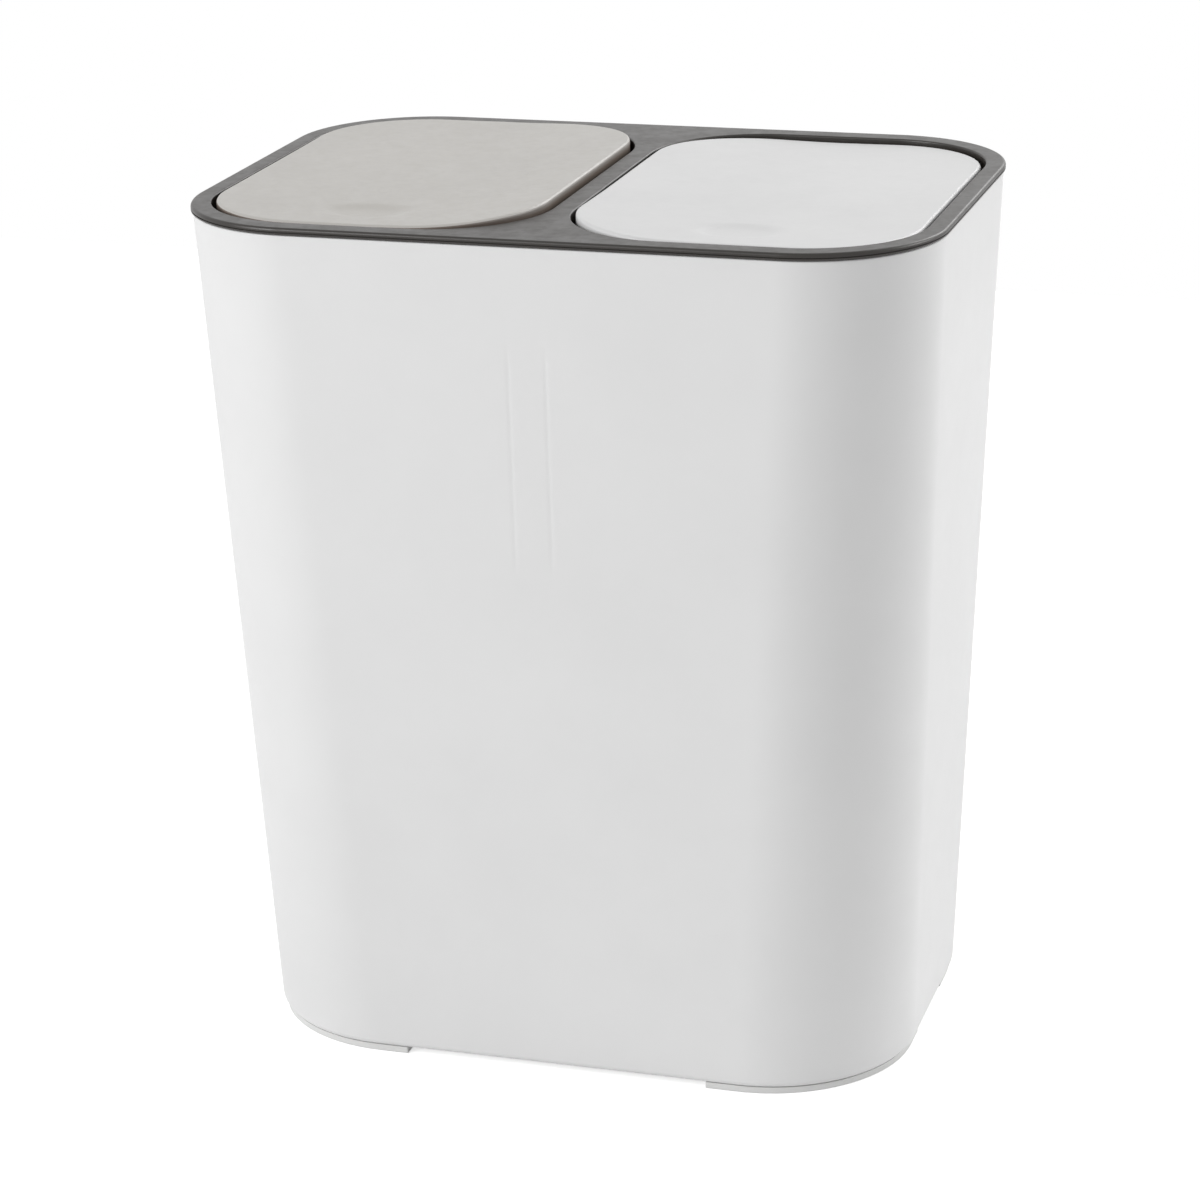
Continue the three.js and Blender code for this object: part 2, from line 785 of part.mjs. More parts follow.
// The spring's line: in from the frame, round the pin, and forward under the lid's panel.
class LiftSpringLine extends THREE.Curve {
  constructor(side, panelUnderside) {
    super();
    this.side = side;
    this.legRise = panelUnderside - seatGap - liftWire / 2;
    this.entry = openingOuter + liftLegEntry;
    this.coilFrom = lidCentreX + liftCoilStart;
    this.coilTurns = liftTurns + 0.5;
    this.lengths = [
      this.entry - this.coilFrom,
      2 * Math.PI * liftCoilRadius * this.coilTurns,
      liftLegLength,
    ];
  }

  getPoint(t, target = new THREE.Vector3()) {
    const [entryLength, coilLength, legLength] = this.lengths;
    const along = t * (entryLength + coilLength + legLength);
    if (along < entryLength) {
      return target.set(this.side * (this.entry - along), hingeY, hingeZ - liftCoilRadius);
    }
    const coilEnd = lidCentreX + liftCoilEnd;
    if (along < entryLength + coilLength) {
      const share = (along - entryLength) / coilLength;
      const angle = -Math.PI / 2 + share * this.coilTurns * 2 * Math.PI;
      return target.set(
        this.side * (this.coilFrom + (coilEnd - this.coilFrom) * share),
        hingeY + liftCoilRadius * Math.cos(angle),
        hingeZ + liftCoilRadius * Math.sin(angle),
      );
    }
    const share = (along - entryLength - coilLength) / legLength;
    const top = hingeZ + liftCoilRadius;
    return target.set(
      this.side * coilEnd,
      hingeY - share * legLength,
      top + share * (this.legRise - top),
    );
  }
}

function makeLiftSpring(side, heights) {
  const legX = side * (lidCentreX + earOuterX);
  const legY = hingeY - liftLegLength;
  const underside = frameTop + lidRise(heights, side, legX, legY) - lidThickness;
  const line = new LiftSpringLine(side, underside);
  const steps = Math.round((line.coilTurns + 2) * stepsPerTurn);
  return wire(line, liftWire, steps);
}

// ---------------------------------------------------------------- the press latches

function makeHousing(side) {
  const middle = side * lidCentreX;
  const half = housingWidth / 2;
  const cavity = housingCavityWidth / 2;
  const outer = block(middle - half, middle + half, housingFront, housingBack, housingBottom, latchTop);
  const inside = block(
    middle - cavity,
    middle + cavity,
    housingCavityFront,
    housingCavityBack,
    housingFloorTop,
    latchTop + housingWall,
  );
  const ears = block(
    middle - half - mountEarWidth,
    middle + half + mountEarWidth,
    housingFront,
    housingFront + mountEarThickness,
    mountEarZ - mountEarHeight / 2,
    mountEarZ + mountEarHeight / 2,
  );
  const window = block(
    middle - housingWidth,
    middle + housingWidth,
    plungerCentreY - strikerLength / 2 - slideGap,
    plungerCentreY + strikerLength / 2 + slideGap,
    plungerBottom - pressTravel - slideGap,
    plungerTabTop + slideGap,
  );
  const holes = screwPlaces(side).map((x) => screwHoleInEar(x));
  return cut(join(outer, ears), inside, window, ...holes);
}

function screwHoleInEar(x) {
  return barY(screwRadius + slideGap, housingFront - housingWall, housingBack, x, mountEarZ);
}

// The sliding fork that grips the lid's striker, with a tab each side that keeps it in the housing.
function makePlunger(side) {
  const middle = side * lidCentreX;
  const half = plungerWidth / 2;
  const solid = block(
    middle - half,
    middle + half,
    plungerFront,
    plungerFront + plungerLength,
    plungerBottom,
    plungerTop,
  );
  const tabs = block(
    middle - half - plungerTabReach,
    middle + half + plungerTabReach,
    plungerCentreY - strikerLength / 2,
    plungerCentreY + strikerLength / 2,
    plungerTabTop - plungerTabHeight,
    plungerTabTop,
  );
  const fork = block(
    middle - plungerSlotHalf,
    middle + plungerSlotHalf,
    plungerFront - slideGap,
    plungerFront + plungerLength + slideGap,
    plungerSlotBottom,
    plungerTop + plungerProud,
  );
  const bore = barZ(
    plungerBoreRadius,
    plungerBottom - seatGap,
    plungerBottom + plungerBoreDepth,
    middle,
    plungerCentreY,
  );
  return cut(join(solid, tabs), fork, bore);
}

class CoilLine extends THREE.Curve {
  constructor(radius, turns, x, y, z0, z1) {
    super();
    Object.assign(this, { radius, turns, x, y, z0, z1 });
  }

  getPoint(t, target = new THREE.Vector3()) {
    const angle = t * this.turns * 2 * Math.PI;
    return target.set(
      this.x + this.radius * Math.cos(angle),
      this.y + this.radius * Math.sin(angle),
      this.z0 + (this.z1 - this.z0) * t,
    );
  }
}

function makeLatchSpring(side) {
  const margin = seatGap + latchWire / 2;
  const z0 = housingFloorTop + margin;
  const z1 = plungerBottom + plungerBoreDepth - margin;
  const line = new CoilLine(latchSpringRadius, latchTurns, side * lidCentreX, plungerCentreY, z0, z1);
  return wire(line, latchWire, latchTurns * stepsPerTurn);
}

// A pan-head screw with a cross slot, driven from the inside of the housing's ear into the frame.
function makeScrew(x) {
  const profile = [
    new THREE.Vector2(0, -screwLength),
    new THREE.Vector2(screwPointRadius, -screwLength),
    new THREE.Vector2(screwRadius, -screwLength + screwPointLength),
    new THREE.Vector2(screwRadius, 0),
    new THREE.Vector2(screwHeadRadius, 0),
    new THREE.Vector2(screwHeadRadius, screwHeadHeight / 2),
    new THREE.Vector2(screwHeadRadius - screwHeadHeight / 3, screwHeadHeight - screwHeadCrown),
    new THREE.Vector2(0, screwHeadHeight),
  ];
  const geometry = new THREE.LatheGeometry(profile, roundSides / 2);
  geometry.translate(x, screwHeadY, mountEarZ);
  const slotEnd = screwHeadY + 2 * screwHeadHeight;
  const slotFloor = screwHeadY + screwHeadHeight - screwSlotDepth;
  const slot = (halfX, halfZ) =>
    block(x - halfX, x + halfX, slotFloor, slotEnd, mountEarZ - halfZ, mountEarZ + halfZ);
  return cut(
    toSolid(geometry),
    slot(screwSlotReach, screwSlotWidth / 2),
    slot(screwSlotWidth / 2, screwSlotReach),
  );
}

// ---------------------------------------------------------------- the assembly

const bin = new THREE.Group();
bin.name = "double_recycling_bin";

function add(group, name, solid, material) {
  const mesh = new THREE.Mesh(toGeometry(solid), material);
  mesh.name = name;
  group.add(mesh);
}

const tub = new THREE.Group();
add(tub, "body_shell", makeBody(), finishes.body);
for (const [front, sideY] of [["front", -1], ["back", 1]]) {
  for (const [hand, sideX] of [["left", -1], ["right", 1]]) {
    add(tub, `foot_${front}_${hand}`, makeFoot(sideX, sideY), finishes.foot);
  }
}

const top = new THREE.Group();
add(top, "lid_frame", makeLidFrame(), finishes.frame);
add(top, "hinge_pin_centre", makeCentrePin(), finishes.steel);

const sides = [
  { hand: "left", side: -1, heights: greyLidHeights, finish: finishes.greyLid },
  { hand: "right", side: 1, heights: whiteLidHeights, finish: finishes.whiteLid },
];
for (const { hand, side, heights, finish: lidFinish } of sides) {
  add(tub, `bucket_${hand}`, makeBucket(side), finishes.bucket);
  add(top, `lid_${hand}`, makeLid(side, heights), lidFinish);
  add(top, `hinge_pin_${hand}`, makeOuterPin(side), finishes.steel);
  add(top, `lid_spring_${hand}`, makeLiftSpring(side, heights), finishes.steel);
  add(top, `latch_housing_${hand}`, makeHousing(side), finishes.latch);
  add(top, `latch_plunger_${hand}`, makePlunger(side), finishes.latch);
  add(top, `latch_spring_${hand}`, makeLatchSpring(side), finishes.steel);
  screwPlaces(side).forEach((x, i) => {
    add(top, `latch_screw_${hand}_${i + 1}`, makeScrew(x), finishes.steel);
  });
}

bin.add(tub, top);

export default bin;
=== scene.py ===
import functools
import math

import bmesh
import bpy
from bpy.props import FloatProperty, FloatVectorProperty, IntProperty, PointerProperty
from mathutils import Matrix, Vector


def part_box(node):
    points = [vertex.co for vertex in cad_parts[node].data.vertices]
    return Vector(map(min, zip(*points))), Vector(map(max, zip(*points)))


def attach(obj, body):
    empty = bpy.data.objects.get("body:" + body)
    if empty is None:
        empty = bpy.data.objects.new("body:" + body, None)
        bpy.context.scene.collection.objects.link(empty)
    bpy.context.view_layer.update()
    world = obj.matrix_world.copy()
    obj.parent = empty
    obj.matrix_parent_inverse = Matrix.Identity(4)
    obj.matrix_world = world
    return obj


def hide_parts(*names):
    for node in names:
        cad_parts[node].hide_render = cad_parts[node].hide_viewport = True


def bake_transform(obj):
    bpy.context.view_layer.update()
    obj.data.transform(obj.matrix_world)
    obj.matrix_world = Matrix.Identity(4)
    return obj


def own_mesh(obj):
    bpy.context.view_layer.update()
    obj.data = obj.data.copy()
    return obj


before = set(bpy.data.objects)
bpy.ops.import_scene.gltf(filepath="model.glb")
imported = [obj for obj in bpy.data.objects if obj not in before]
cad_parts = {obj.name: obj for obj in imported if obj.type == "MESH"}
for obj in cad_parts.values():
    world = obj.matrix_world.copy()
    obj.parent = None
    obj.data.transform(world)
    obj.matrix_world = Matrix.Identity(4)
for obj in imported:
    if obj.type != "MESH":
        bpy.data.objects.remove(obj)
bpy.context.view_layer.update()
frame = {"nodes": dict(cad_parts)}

bl_info = {
    "name": "Double Recycling Bin",
    "version": (1, 0, 0),
    "blender": (4, 5, 0),
    "location": "3D View > Sidebar > Bin",
    "description": "Builds a double recycling bin with two press lids around its packed frame",
    "category": "Add Mesh",
}

MM = 0.001
SIDES = {"left": -1, "right": 1}  # the grey lid is on the left, the white one on the right
SHARPEST = 0.2 * MM  # smallest radius that a plan's corner shrinks to
WELD = 0.0001 * MM  # points of a loft that lie closer than this are one
CRISP = math.radians(32)  # edges that fold more than this stay crisp
FOLDED = math.radians(50)  # edges that fold more than this are rounded
PLAN_STEPS = 24  # divisions of each corner of a large outline
ROD_STEPS = 40  # divisions round a rod or a hole
HAIR = 0.02 * MM  # keeps two faces that would share a plane just apart

# How far each lid's thin panel has warped, in millimetres: base is its middle, the rest are its edges.
WARPS = {
    "left": {"base": 0, "inner": 3, "outer": 1, "back": 1.2, "front": 0, "inner_front": 0},
    "right": {"base": -1, "inner": 2, "outer": 0, "back": -1, "front": 0.5, "inner_front": 2},
}
CORNER_CALM = 0.5  # share of the front and back rise that reaches a lid's corners


# ------------------------------------------------------------------ sizes and colours that a user may change


def length(name, description, millimetres):
    """A length property, given in millimetres and kept in metres."""
    return FloatProperty(
        name=name,
        description=description,
        default=millimetres * MM,
        unit="LENGTH",
        subtype="DISTANCE",
        precision=5,
    )


def angle(name, description, degrees):
    """An angle property, given in degrees and kept in radians."""
    return FloatProperty(name=name, description=description, default=math.radians(degrees), subtype="ANGLE")


def linear(hex_colour):
    """An sRGB hex colour as linear red, green and blue."""
    parts = [int(hex_colour[i : i + 2], 16) / 255 for i in (1, 3, 5)]
    return tuple(c / 12.92 if c <= 0.04045 else ((c + 0.055) / 1.055) ** 2.4 for c in parts)


def colour(name, description, hex_colour):
    """A colour property, given as an sRGB hex value."""
    return FloatVectorProperty(
        name=name,
        description=description,
        default=linear(hex_colour),
        subtype="COLOR",
        min=0.0,
        max=1.0,
    )


class BIN_PG_tub(bpy.types.PropertyGroup):
    """Sizes of the tub and its feet."""

    side_draft: length("Side draft", "How far the base stands in from the top edge at each side", 13.6)
    front_draft: length("Front draft", "The same at the front and the back", 10.75)
    top_corner: length("Top corner", "Radius of the top edge's corners, seen from above", 52.6)
    base_corner: length("Base corner", "Radius of the base's corners, seen from above", 60)
    wall: length("Wall", "Thickness of the tub's walls", 2.2)
    floor: length("Floor", "Thickness of the tub's floor", 2.5)
    base_round: length("Base round", "Round between the walls and the base", 3)
    lip_round: length("Lip round", "Round on the tub's top edge", 0.7)
    inner_fillet: length("Inner fillet", "Round between the walls and the floor inside", 4)
    rib_spacing: length("Rib spacing", "Between the middles of two guide ribs", 14.8)
    rib_thickness: length("Rib thickness", "Thickness of a guide rib", 1.4)
    rib_reach: length("Rib reach", "How far a guide rib stands off the wall", 7)
    rib_bottom: length("Rib bottom", "Height of the guide ribs' lower ends", 218)
    rib_top: length("Rib top", "Height of the guide ribs' upper ends", 304)
    sink_depth: length("Sink depth", "Depth of the faint line that each rib draws outside", 0.12)
    sink_width: length("Sink width", "Half width of that line", 1.5)
    foot_inset: length("Foot inset", "From the tub's outline to a foot's outer face", 1.5)
    foot_width: length("Foot width", "Width of a foot pad", 13)
    foot_reach: length("Foot reach", "Straight part of a foot past each end of its round", 12.5)
    foot_edge: length("Foot edge", "Round on a foot's edges", 0.6)
    foot_peg: length("Foot peg", "Radius of the peg that holds a foot", 3)
    foot_peg_gap: length("Foot peg gap", "Clearance round that peg", 0.4)


class BIN_PG_frame(bpy.types.PropertyGroup):
    """Sizes of the lid frame."""

    corner: length("Corner", "Radius of the frame's corners, seen from above", 53.4)
    flange: length("Flange", "Thickness of the frame's flange", 2.8)
    edge_round: length("Edge round", "Round on the flange's upper edge", 1.2)
    lower_round: length("Lower round", "Round on the flange's lower edge", 0.5)
    groove_drop: length("Groove drop", "From the frame's top down to the groove in its side", 1.55)
    groove_height: length("Groove height", "Height of the groove in the flange's side", 0.45)
    groove_depth: length("Groove depth", "Depth of the groove in the flange's side", 0.5)
    opening_corner: length("Opening corner", "Radius of the openings' corners", 45)
    opening_round: length("Opening round", "Round on the openings' edges", 0.8)
    well_wall: length("Well wall", "Thickness of the wall round each opening", 1.6)
    well_depth: length("Well depth", "From the frame's top to the end of that wall", 14)
    skirt_gap: length("Skirt gap", "Clearance between the tub's wall and the frame's skirt", 0.4)
    skirt_wall: length("Skirt wall", "Thickness of the skirt that sits in the tub", 1.6)
    skirt_depth: length("Skirt depth", "From the frame's top to the end of the skirt", 12)
    boss: length("Boss", "Radius of the bosses that hold the hinge pins", 5)
    boss_hole: length("Boss hole", "Radius of the holes for the hinge pins", 1.75)
    leg_hole: length("Leg hole", "Radius of the holes for the lid springs' legs", 0.65)
    leg_hole_depth: length("Leg hole depth", "Depth of those holes", 2.9)
    screw_boss: length("Screw boss", "Radius of the bosses that take the latch screws", 3)
    screw_boss_length: length("Screw boss length", "How far a screw boss stands off the wall", 2.2)
    screw_hole: length("Screw hole", "Radius of the holes for the latch screws", 1.5)
    apron_margin: length("Apron margin", "Wall beside and below each latch housing", 1.6)


class BIN_PG_lids(bpy.types.PropertyGroup):
    """Sizes of the two press lids."""

    gap: length("Gap", "Gap between a lid and its opening", 1.9)
    thickness: length("Thickness", "Thickness of a lid's panel", 2.2)
    edge_round: length("Edge round", "Round on a lid's rolled edge", 1.5)
    skirt_depth: length("Skirt depth", "From the panel's top to the skirt's end", 6.5)
    skirt_wall: length("Skirt wall", "Thickness of a lid's skirt", 1.5)
    skirt_round: length("Skirt round", "Round on the skirt's lower edges", 0.3)
    dimple_setback: length("Dimple setback", "From a lid's front edge to the thumb dimple's middle", 24)
    dimple_width: length("Dimple width", "Width of the thumb dimple", 30)
    dimple_length: length("Dimple length", "Length of the thumb dimple, front to back", 19)
    dimple_depth: length("Dimple depth", "Depth of the thumb dimple", 1.7)
    ear_thickness: length("Ear thickness", "Thickness of an ear", 3)
    ear_radius: length("Ear radius", "Radius of the ears that turn on the pins", 4.5)
    ear_inset: length("Ear inset", "From a lid's edge to the ear's outer face", 10)
    notch: length("Notch", "Radius of the skirt's notch round the spring", 3.2)
    striker_thickness: length("Striker thickness", "Thickness of the tongue that the latch grips", 3)
    striker_length: length("Striker length", "Length of that tongue, front to back", 5)


class BIN_PG_buckets(bpy.types.PropertyGroup):
    """Sizes of the two inner buckets."""

    wall: length("Wall", "Thickness of a bucket's walls", 1.5)
    floor: length("Floor", "Thickness of a bucket's floor", 1.6)
    lip_depth: length("Lip depth", "Height of the turned-down lip", 9)
    lip_wall: length("Lip wall", "Thickness of the lip", 1.4)
    rim_width: length("Rim width", "From the lip's outer face to the bucket's wall", 4.2)
    rim_thickness: length("Rim thickness", "Thickness of the rim's flat top", 1.6)
    edge_round: length("Edge round", "Round on the rim's edges", 0.5)
    inner_draft: length("Inner draft", "How far the inner wall leans in from top to bottom", 3)
    inner_corner: length("Inner corner", "Radius of the two corners by the other bucket", 16)
    floor_round: length("Floor round", "Round between the walls and the floor", 8)
    gap: length("Gap", "From a bucket's lip to the tub's wall", 1.2)
    from_middle: length("From middle", "From the bin's middle to a bucket's lip", 8.6)


class BIN_PG_hardware(bpy.types.PropertyGroup):
    """Sizes of the springs, latches and screws."""

    lift_wire: length("Lid spring wire", "Wire of a lid's torsion spring", 0.9)
    lift_coil: length("Lid spring coil", "Radius of that spring, to the wire's middle", 2.35)
    lift_turns: IntProperty(name="Lid spring turns", description="Whole turns of that spring", default=4)
    lift_leg: length("Lid spring leg", "Length of the leg that lifts the lid", 15)
    coil_wire: length("Latch spring wire", "Wire of a latch's coil spring", 0.5)
    coil_turns: IntProperty(name="Latch spring turns", description="Turns of that spring", default=5)
    seat_gap: length("Seat gap", "Clearance between pieces that rest on each other", 0.3)
    slide_gap: length("Slide gap", "Clearance between pieces that slide", 0.4)
    press_travel: length("Press travel", "How far a latch goes down when it is pressed", 2)
    housing_wall: length("Housing wall", "Wall of a latch housing", 1.6)
    housing_round: length("Housing round", "Round on the latches' edges", 0.3)
    ear_width: length("Ear width", "Width of a housing's screw ear", 6.4)
    ear_height: length("Ear height", "Height of a housing's screw ear", 10)
    jaw: length("Jaw", "Thickness of each jaw of the plunger", 4.3)
    slot_depth: length("Slot depth", "Depth of the plunger's slot", 5.5)
    tab_reach: length("Tab reach", "How far the plunger's tabs stand out", 1.2)
    tab_height: length("Tab height", "Height of the plunger's tabs", 1.5)
    bore: length("Bore", "Radius of the plunger's bore for its spring", 3.05)
    bore_depth: length("Bore depth", "Depth of that bore", 2.2)
    shank: length("Shank", "Radius of a latch screw's shank", 1.1)
    shank_hole: length("Shank hole", "Radius of the hole for that shank", 1.5)
    head_height: length("Head height", "Height of a latch screw's head", 1.5)
    head_crown: length("Head crown", "How far the head's middle rises above its edge", 0.25)
    point: length("Point", "Length of a latch screw's point", 0.8)
    cross_reach: length("Cross reach", "Half length of the cross in a screw's head", 1.4)
    cross_width: length("Cross width", "Width of that cross", 0.6)
    cross_depth: length("Cross depth", "Depth of that cross", 0.8)


class BIN_PG_finishes(bpy.types.PropertyGroup):
    """Colours of the pieces."""

    tub: colour("Tub", "White of the tub", "#E3E3E3")
    foot: colour("Feet", "Off-white of the feet", "#DCDCDB")
    frame: colour("Lid frame", "Grey-brown of the lid frame", "#27231F")
    grey_lid: colour("Grey lid", "Warm grey of the left lid's panel", "#BFBCB7")
    # Painted shade: the left lid's skirt is painted this darker brown-grey for the shade in the gap beside
    # the frame
    grey_lid_painted_shade: colour("Grey lid's edge", "Brown-grey of the left lid's skirt", "#6E635B")
    white_lid: colour("White lid", "White of the right lid", "#E0E0E0")
    bucket: colour("Buckets", "Light grey of the inner buckets", "#C6C7C6")
    latch: colour("Latches", "Near black of the latches", "#26272A")
    plating: colour("Plating", "Zinc plating on the pins and screws", "#C9C8C4")
    wire: colour("Wire", "Drawn spring wire", "#AFAEAB")


class BIN_PG_stage(bpy.types.PropertyGroup):
    """The camera and the lamps."""

    lens: FloatProperty(name="Lens", description="Focal length", default=109.0, unit="CAMERA")
    azimuth: angle("Azimuth", "How far the camera stands round to the right of the front", 17.0252)
    elevation: angle("Elevation", "How far the camera looks down", 18.9019)
    roll: angle("Roll", "How far the camera is tipped about its own line of sight", -1.1974)
    distance: length("Distance", "From the camera to the middle of the bin", 1495.6)
    aim_height: length("Aim height", "Height of the point that the camera looks at", 173.1)
    shift_x: FloatProperty(name="Shift X", description="Sideways shift of the lens", default=-0.01067)
    shift_y: FloatProperty(name="Shift Y", description="Upward shift of the lens", default=-0.0066)
    key_power: FloatProperty(name="Key", description="Power of the left front lamp", default=28.0)
    fill_power: FloatProperty(name="Fill", description="Power of the right lamp", default=18.5)
    rim_power: FloatProperty(name="Rim", description="Power of the lamp behind", default=9.0)
    sky: FloatProperty(name="Sky", description="Strength of the even light from all round", default=0.34)
    floor_paint: colour("Floor paint", "Pale paint of the studio floor", "#EDEDED")
    floor_glow: FloatProperty(name="Floor glow", description="What lifts the floor to white", default=0.6)


class BIN_PG_settings(bpy.types.PropertyGroup):
    """Everything that a user may change, by group."""

    tub: PointerProperty(type=BIN_PG_tub)
    frame: PointerProperty(type=BIN_PG_frame)
    lids: PointerProperty(type=BIN_PG_lids)
    buckets: PointerProperty(type=BIN_PG_buckets)
    hardware: PointerProperty(type=BIN_PG_hardware)
    finishes: PointerProperty(type=BIN_PG_finishes)
    stage: PointerProperty(type=BIN_PG_stage)


def settings():
    """The sizes, colours and powers as they are set now."""
    return bpy.context.scene.bin_settings


@functools.cache
def box(node):
    """The lowest and the highest corner of a node of the frame."""
    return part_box(node)


# ------------------------------------------------------------------ outlines and solids


class Plan:
    """A rounded rectangle. radii holds the front left, front right, back right and back left corners."""

    def __init__(self, x0, x1, y0, y1, radii):
        self.x0, self.x1, self.y0, self.y1 = x0, x1, y0, y1
        self.radii = tuple(radii)

    def inset(self, distance):
        """The same outline moved inwards, or outwards where distance is negative."""
        radii = [max(r - distance, SHARPEST) for r in self.radii]
        return Plan(self.x0 + distance, self.x1 - distance, self.y0 + distance, self.y1 - distance, radii)

    def blend(self, other, share):
        """The outline a share of the way to another."""
        mine = (self.x0, self.x1, self.y0, self.y1, *self.radii)
        theirs = (other.x0, other.x1, other.y0, other.y1, *other.radii)
        x0, x1, y0, y1, *radii = (a + (b - a) * share for a, b in zip(mine, theirs))
        return Plan(x0, x1, y0, y1, radii)

    def depth(self, x, y):
        """How far inside the outline a place lies."""
        right = x > (self.x0 + self.x1) / 2
        back = y > (self.y0 + self.y1) / 2
        radius = self.radii[{(0, 0): 0, (1, 0): 1, (1, 1): 2, (0, 1): 3}[right, back]]
        across = min(x - self.x0, self.x1 - x)
        along = min(y - self.y0, self.y1 - y)
        if across < radius and along < radius:
            return radius - math.hypot(radius - across, radius - along)
        return min(across, along)


def centre(node):
    """The middle of a node's box."""
    return [(low + high) / 2 for low, high in zip(*box(node))]


def box_plan(node, radius):
    """The plan of a node's box, with four like corners."""
    low, high = box(node)
    return Plan(low[0], high[0], low[1], high[1], [radius] * 4)


def bevel(bm, geom, radius, segments, affect):
    """Rounds corner points, or edges as far as they have room."""
    bmesh.ops.bevel(
        bm,
        geom=geom,
        offset=radius,
        offset_type="OFFSET",
        segments=segments,
        profile=0.5,
        affect=affect,
        clamp_overlap=affect == "EDGES",
        material=-1,
    )


def ring(bm, plan, z):
    """Adds a plan's outline at a height: four corner points, each bevelled to its own radius.
    Returns its points in order, from the left end of the straight front."""
    older = set(bm.faces)
    places = ((plan.x0, plan.y0), (plan.x1, plan.y0), (plan.x1, plan.y1), (plan.x0, plan.y1))
    corners = [bm.verts.new((x, y, z)) for x, y in places]
    bm.faces.new(corners)
    for radius in sorted(set(plan.radii)):
        bevel(bm, [v for v, r in zip(corners, plan.radii) if r == radius], radius, PLAN_STEPS, "VERTICES")
    face = next(f for f in bm.faces if f not in older)
    points = list(face.verts)
    bmesh.ops.delete(bm, geom=[face], context="FACES_ONLY")
    first = min(range(len(points)), key=lambda i: (round(points[i].co.y, 7), points[i].co.x))
    return points[first:] + points[:first]


def stack(bm, levels, closed=False):
    """Lofts through levels of (plan, inset, height) and returns the first and the last ring."""
    rings = [ring(bm, plan.inset(inset), z) for plan, inset, z in levels]
    pairs = list(zip(rings, rings[1:]))
    if closed:
        pairs.append((rings[-1], rings[0]))
    for low, high in pairs:
        for i in range(len(low)):
            bm.faces.new((low[i - 1], low[i], high[i], high[i - 1]))
    return rings[0], rings[-1]


def fill(bm, up, *loops):
    """Closes flat loops, one inside another or alone, with the faces between them."""
    edges = [bm.edges.get((loop[i - 1], loop[i])) for loop in loops for i in range(len(loop))]
    bmesh.ops.triangle_fill(bm, use_beauty=True, use_dissolve=False, edges=edges, normal=(0, 0, up))


def quarter(radius, steps=5):
    """A quarter round from a wall to a flat: (inset from the wall, distance from the flat) of each point."""
    turns = [0.5 * math.pi * i / steps for i in range(steps + 1)]
    return [(radius * (1 - math.cos(t)), radius * (1 - math.sin(t))) for t in turns]


def tidy(bm):
    """Merges doubles and turns every face outwards."""
    bmesh.ops.remove_doubles(bm, verts=bm.verts, dist=WELD)
    bmesh.ops.recalc_face_normals(bm, faces=bm.faces)
    return bm


def shell(levels):
    """A closed solid lofted through levels, with a flat face over its first and its last ring."""
    bm = bmesh.new()
    first, last = stack(bm, levels)
    fill(bm, -1, first)
    fill(bm, 1, last)
    return tidy(bm)


def slice_at(bm, point, normal, keep_below=False):
    """Cuts a mesh's faces along a plane, and drops what lies past it where asked."""
    bmesh.ops.bisect_plane(
        bm,
        geom=bm.verts[:] + bm.edges[:] + bm.faces[:],
        dist=WELD / 10,
        plane_co=point,
        plane_no=normal,
        clear_outer=keep_below,
    )


def round_edges(bm, radius, segments=3):
    """Rounds every folded edge."""
    edges = [e for e in bm.edges if len(e.link_faces) == 2 and e.calc_face_angle(0) > FOLDED]
    bevel(bm, edges, radius, segments, "EDGES")
    return bm


def block(x0, x1, y0, y1, z0, z1, rounded=0.0):
    """A block between two corners, with its edges rounded where asked."""
    bm = bmesh.new()
    middle = Vector(((x0 + x1) / 2, (y0 + y1) / 2, (z0 + z1) / 2))
    size = (abs(x1 - x0), abs(y1 - y0), abs(z1 - z0), 1)
    bmesh.ops.create_cube(bm, size=1, matrix=Matrix.Translation(middle) @ Matrix.Diagonal(size))
    return round_edges(bm, rounded) if rounded else bm


def rod(radius, start, end, chamfer=0.0):
    """A round bar between two points, with its ends chamfered where asked."""
    start, end = Vector(start), Vector(end)
    turn = (end - start).to_track_quat("Z", "Y").to_matrix().to_4x4()
    bm = bmesh.new()
    bmesh.ops.create_cone(
        bm,
        cap_ends=True,
        cap_tris=False,
        segments=ROD_STEPS,
        radius1=radius,
        radius2=radius,
        depth=(end - start).length,
        matrix=Matrix.Translation((start + end) / 2) @ turn,
    )
    return round_edges(bm, chamfer, 1) if chamfer else bm


def as_object(bm, name):
    """A bmesh made an object of the scene."""
    mesh = bpy.data.meshes.new(name)
    bm.to_mesh(mesh)
    bm.free()
    piece = bpy.data.objects.new(name, mesh)
    bpy.context.scene.collection.objects.link(piece)
    return piece


def gathered(solids):
    """Several solids that stay clear of each other, as one mesh."""
    bm = bmesh.new()
    for solid in solids:
        mesh = bpy.data.meshes.new("gathered")
        solid.to_mesh(mesh)
        solid.free()
        bm.from_mesh(mesh)
        bpy.data.meshes.remove(mesh)
    return bm


def combine(bm, others, operation):
    """Joins or cuts a solid with others that stay clear of each other, and returns the result."""
    blank = as_object(bm, "blank")
    tool = as_object(gathered(others), "tool")
    modifier = blank.modifiers.new("Boolean", "BOOLEAN")
    modifier.operation = operation
    modifier.solver = "EXACT"
    modifier.object = tool
    evaluated = blank.evaluated_get(bpy.context.evaluated_depsgraph_get())
    mesh = bpy.data.meshes.new_from_object(evaluated)
    result = bmesh.new()
    result.from_mesh(mesh)
    bmesh.ops.remove_doubles(result, verts=result.verts, dist=10 * WELD)
    for used in (blank.data, tool.data, mesh):
        bpy.data.meshes.remove(used)
    return result


def join(bm, *others):
    """One solid of several."""
    return combine(bm, others, "UNION")


def cut(bm, *others):
    """A solid less several others."""
    return combine(bm, others, "DIFFERENCE")


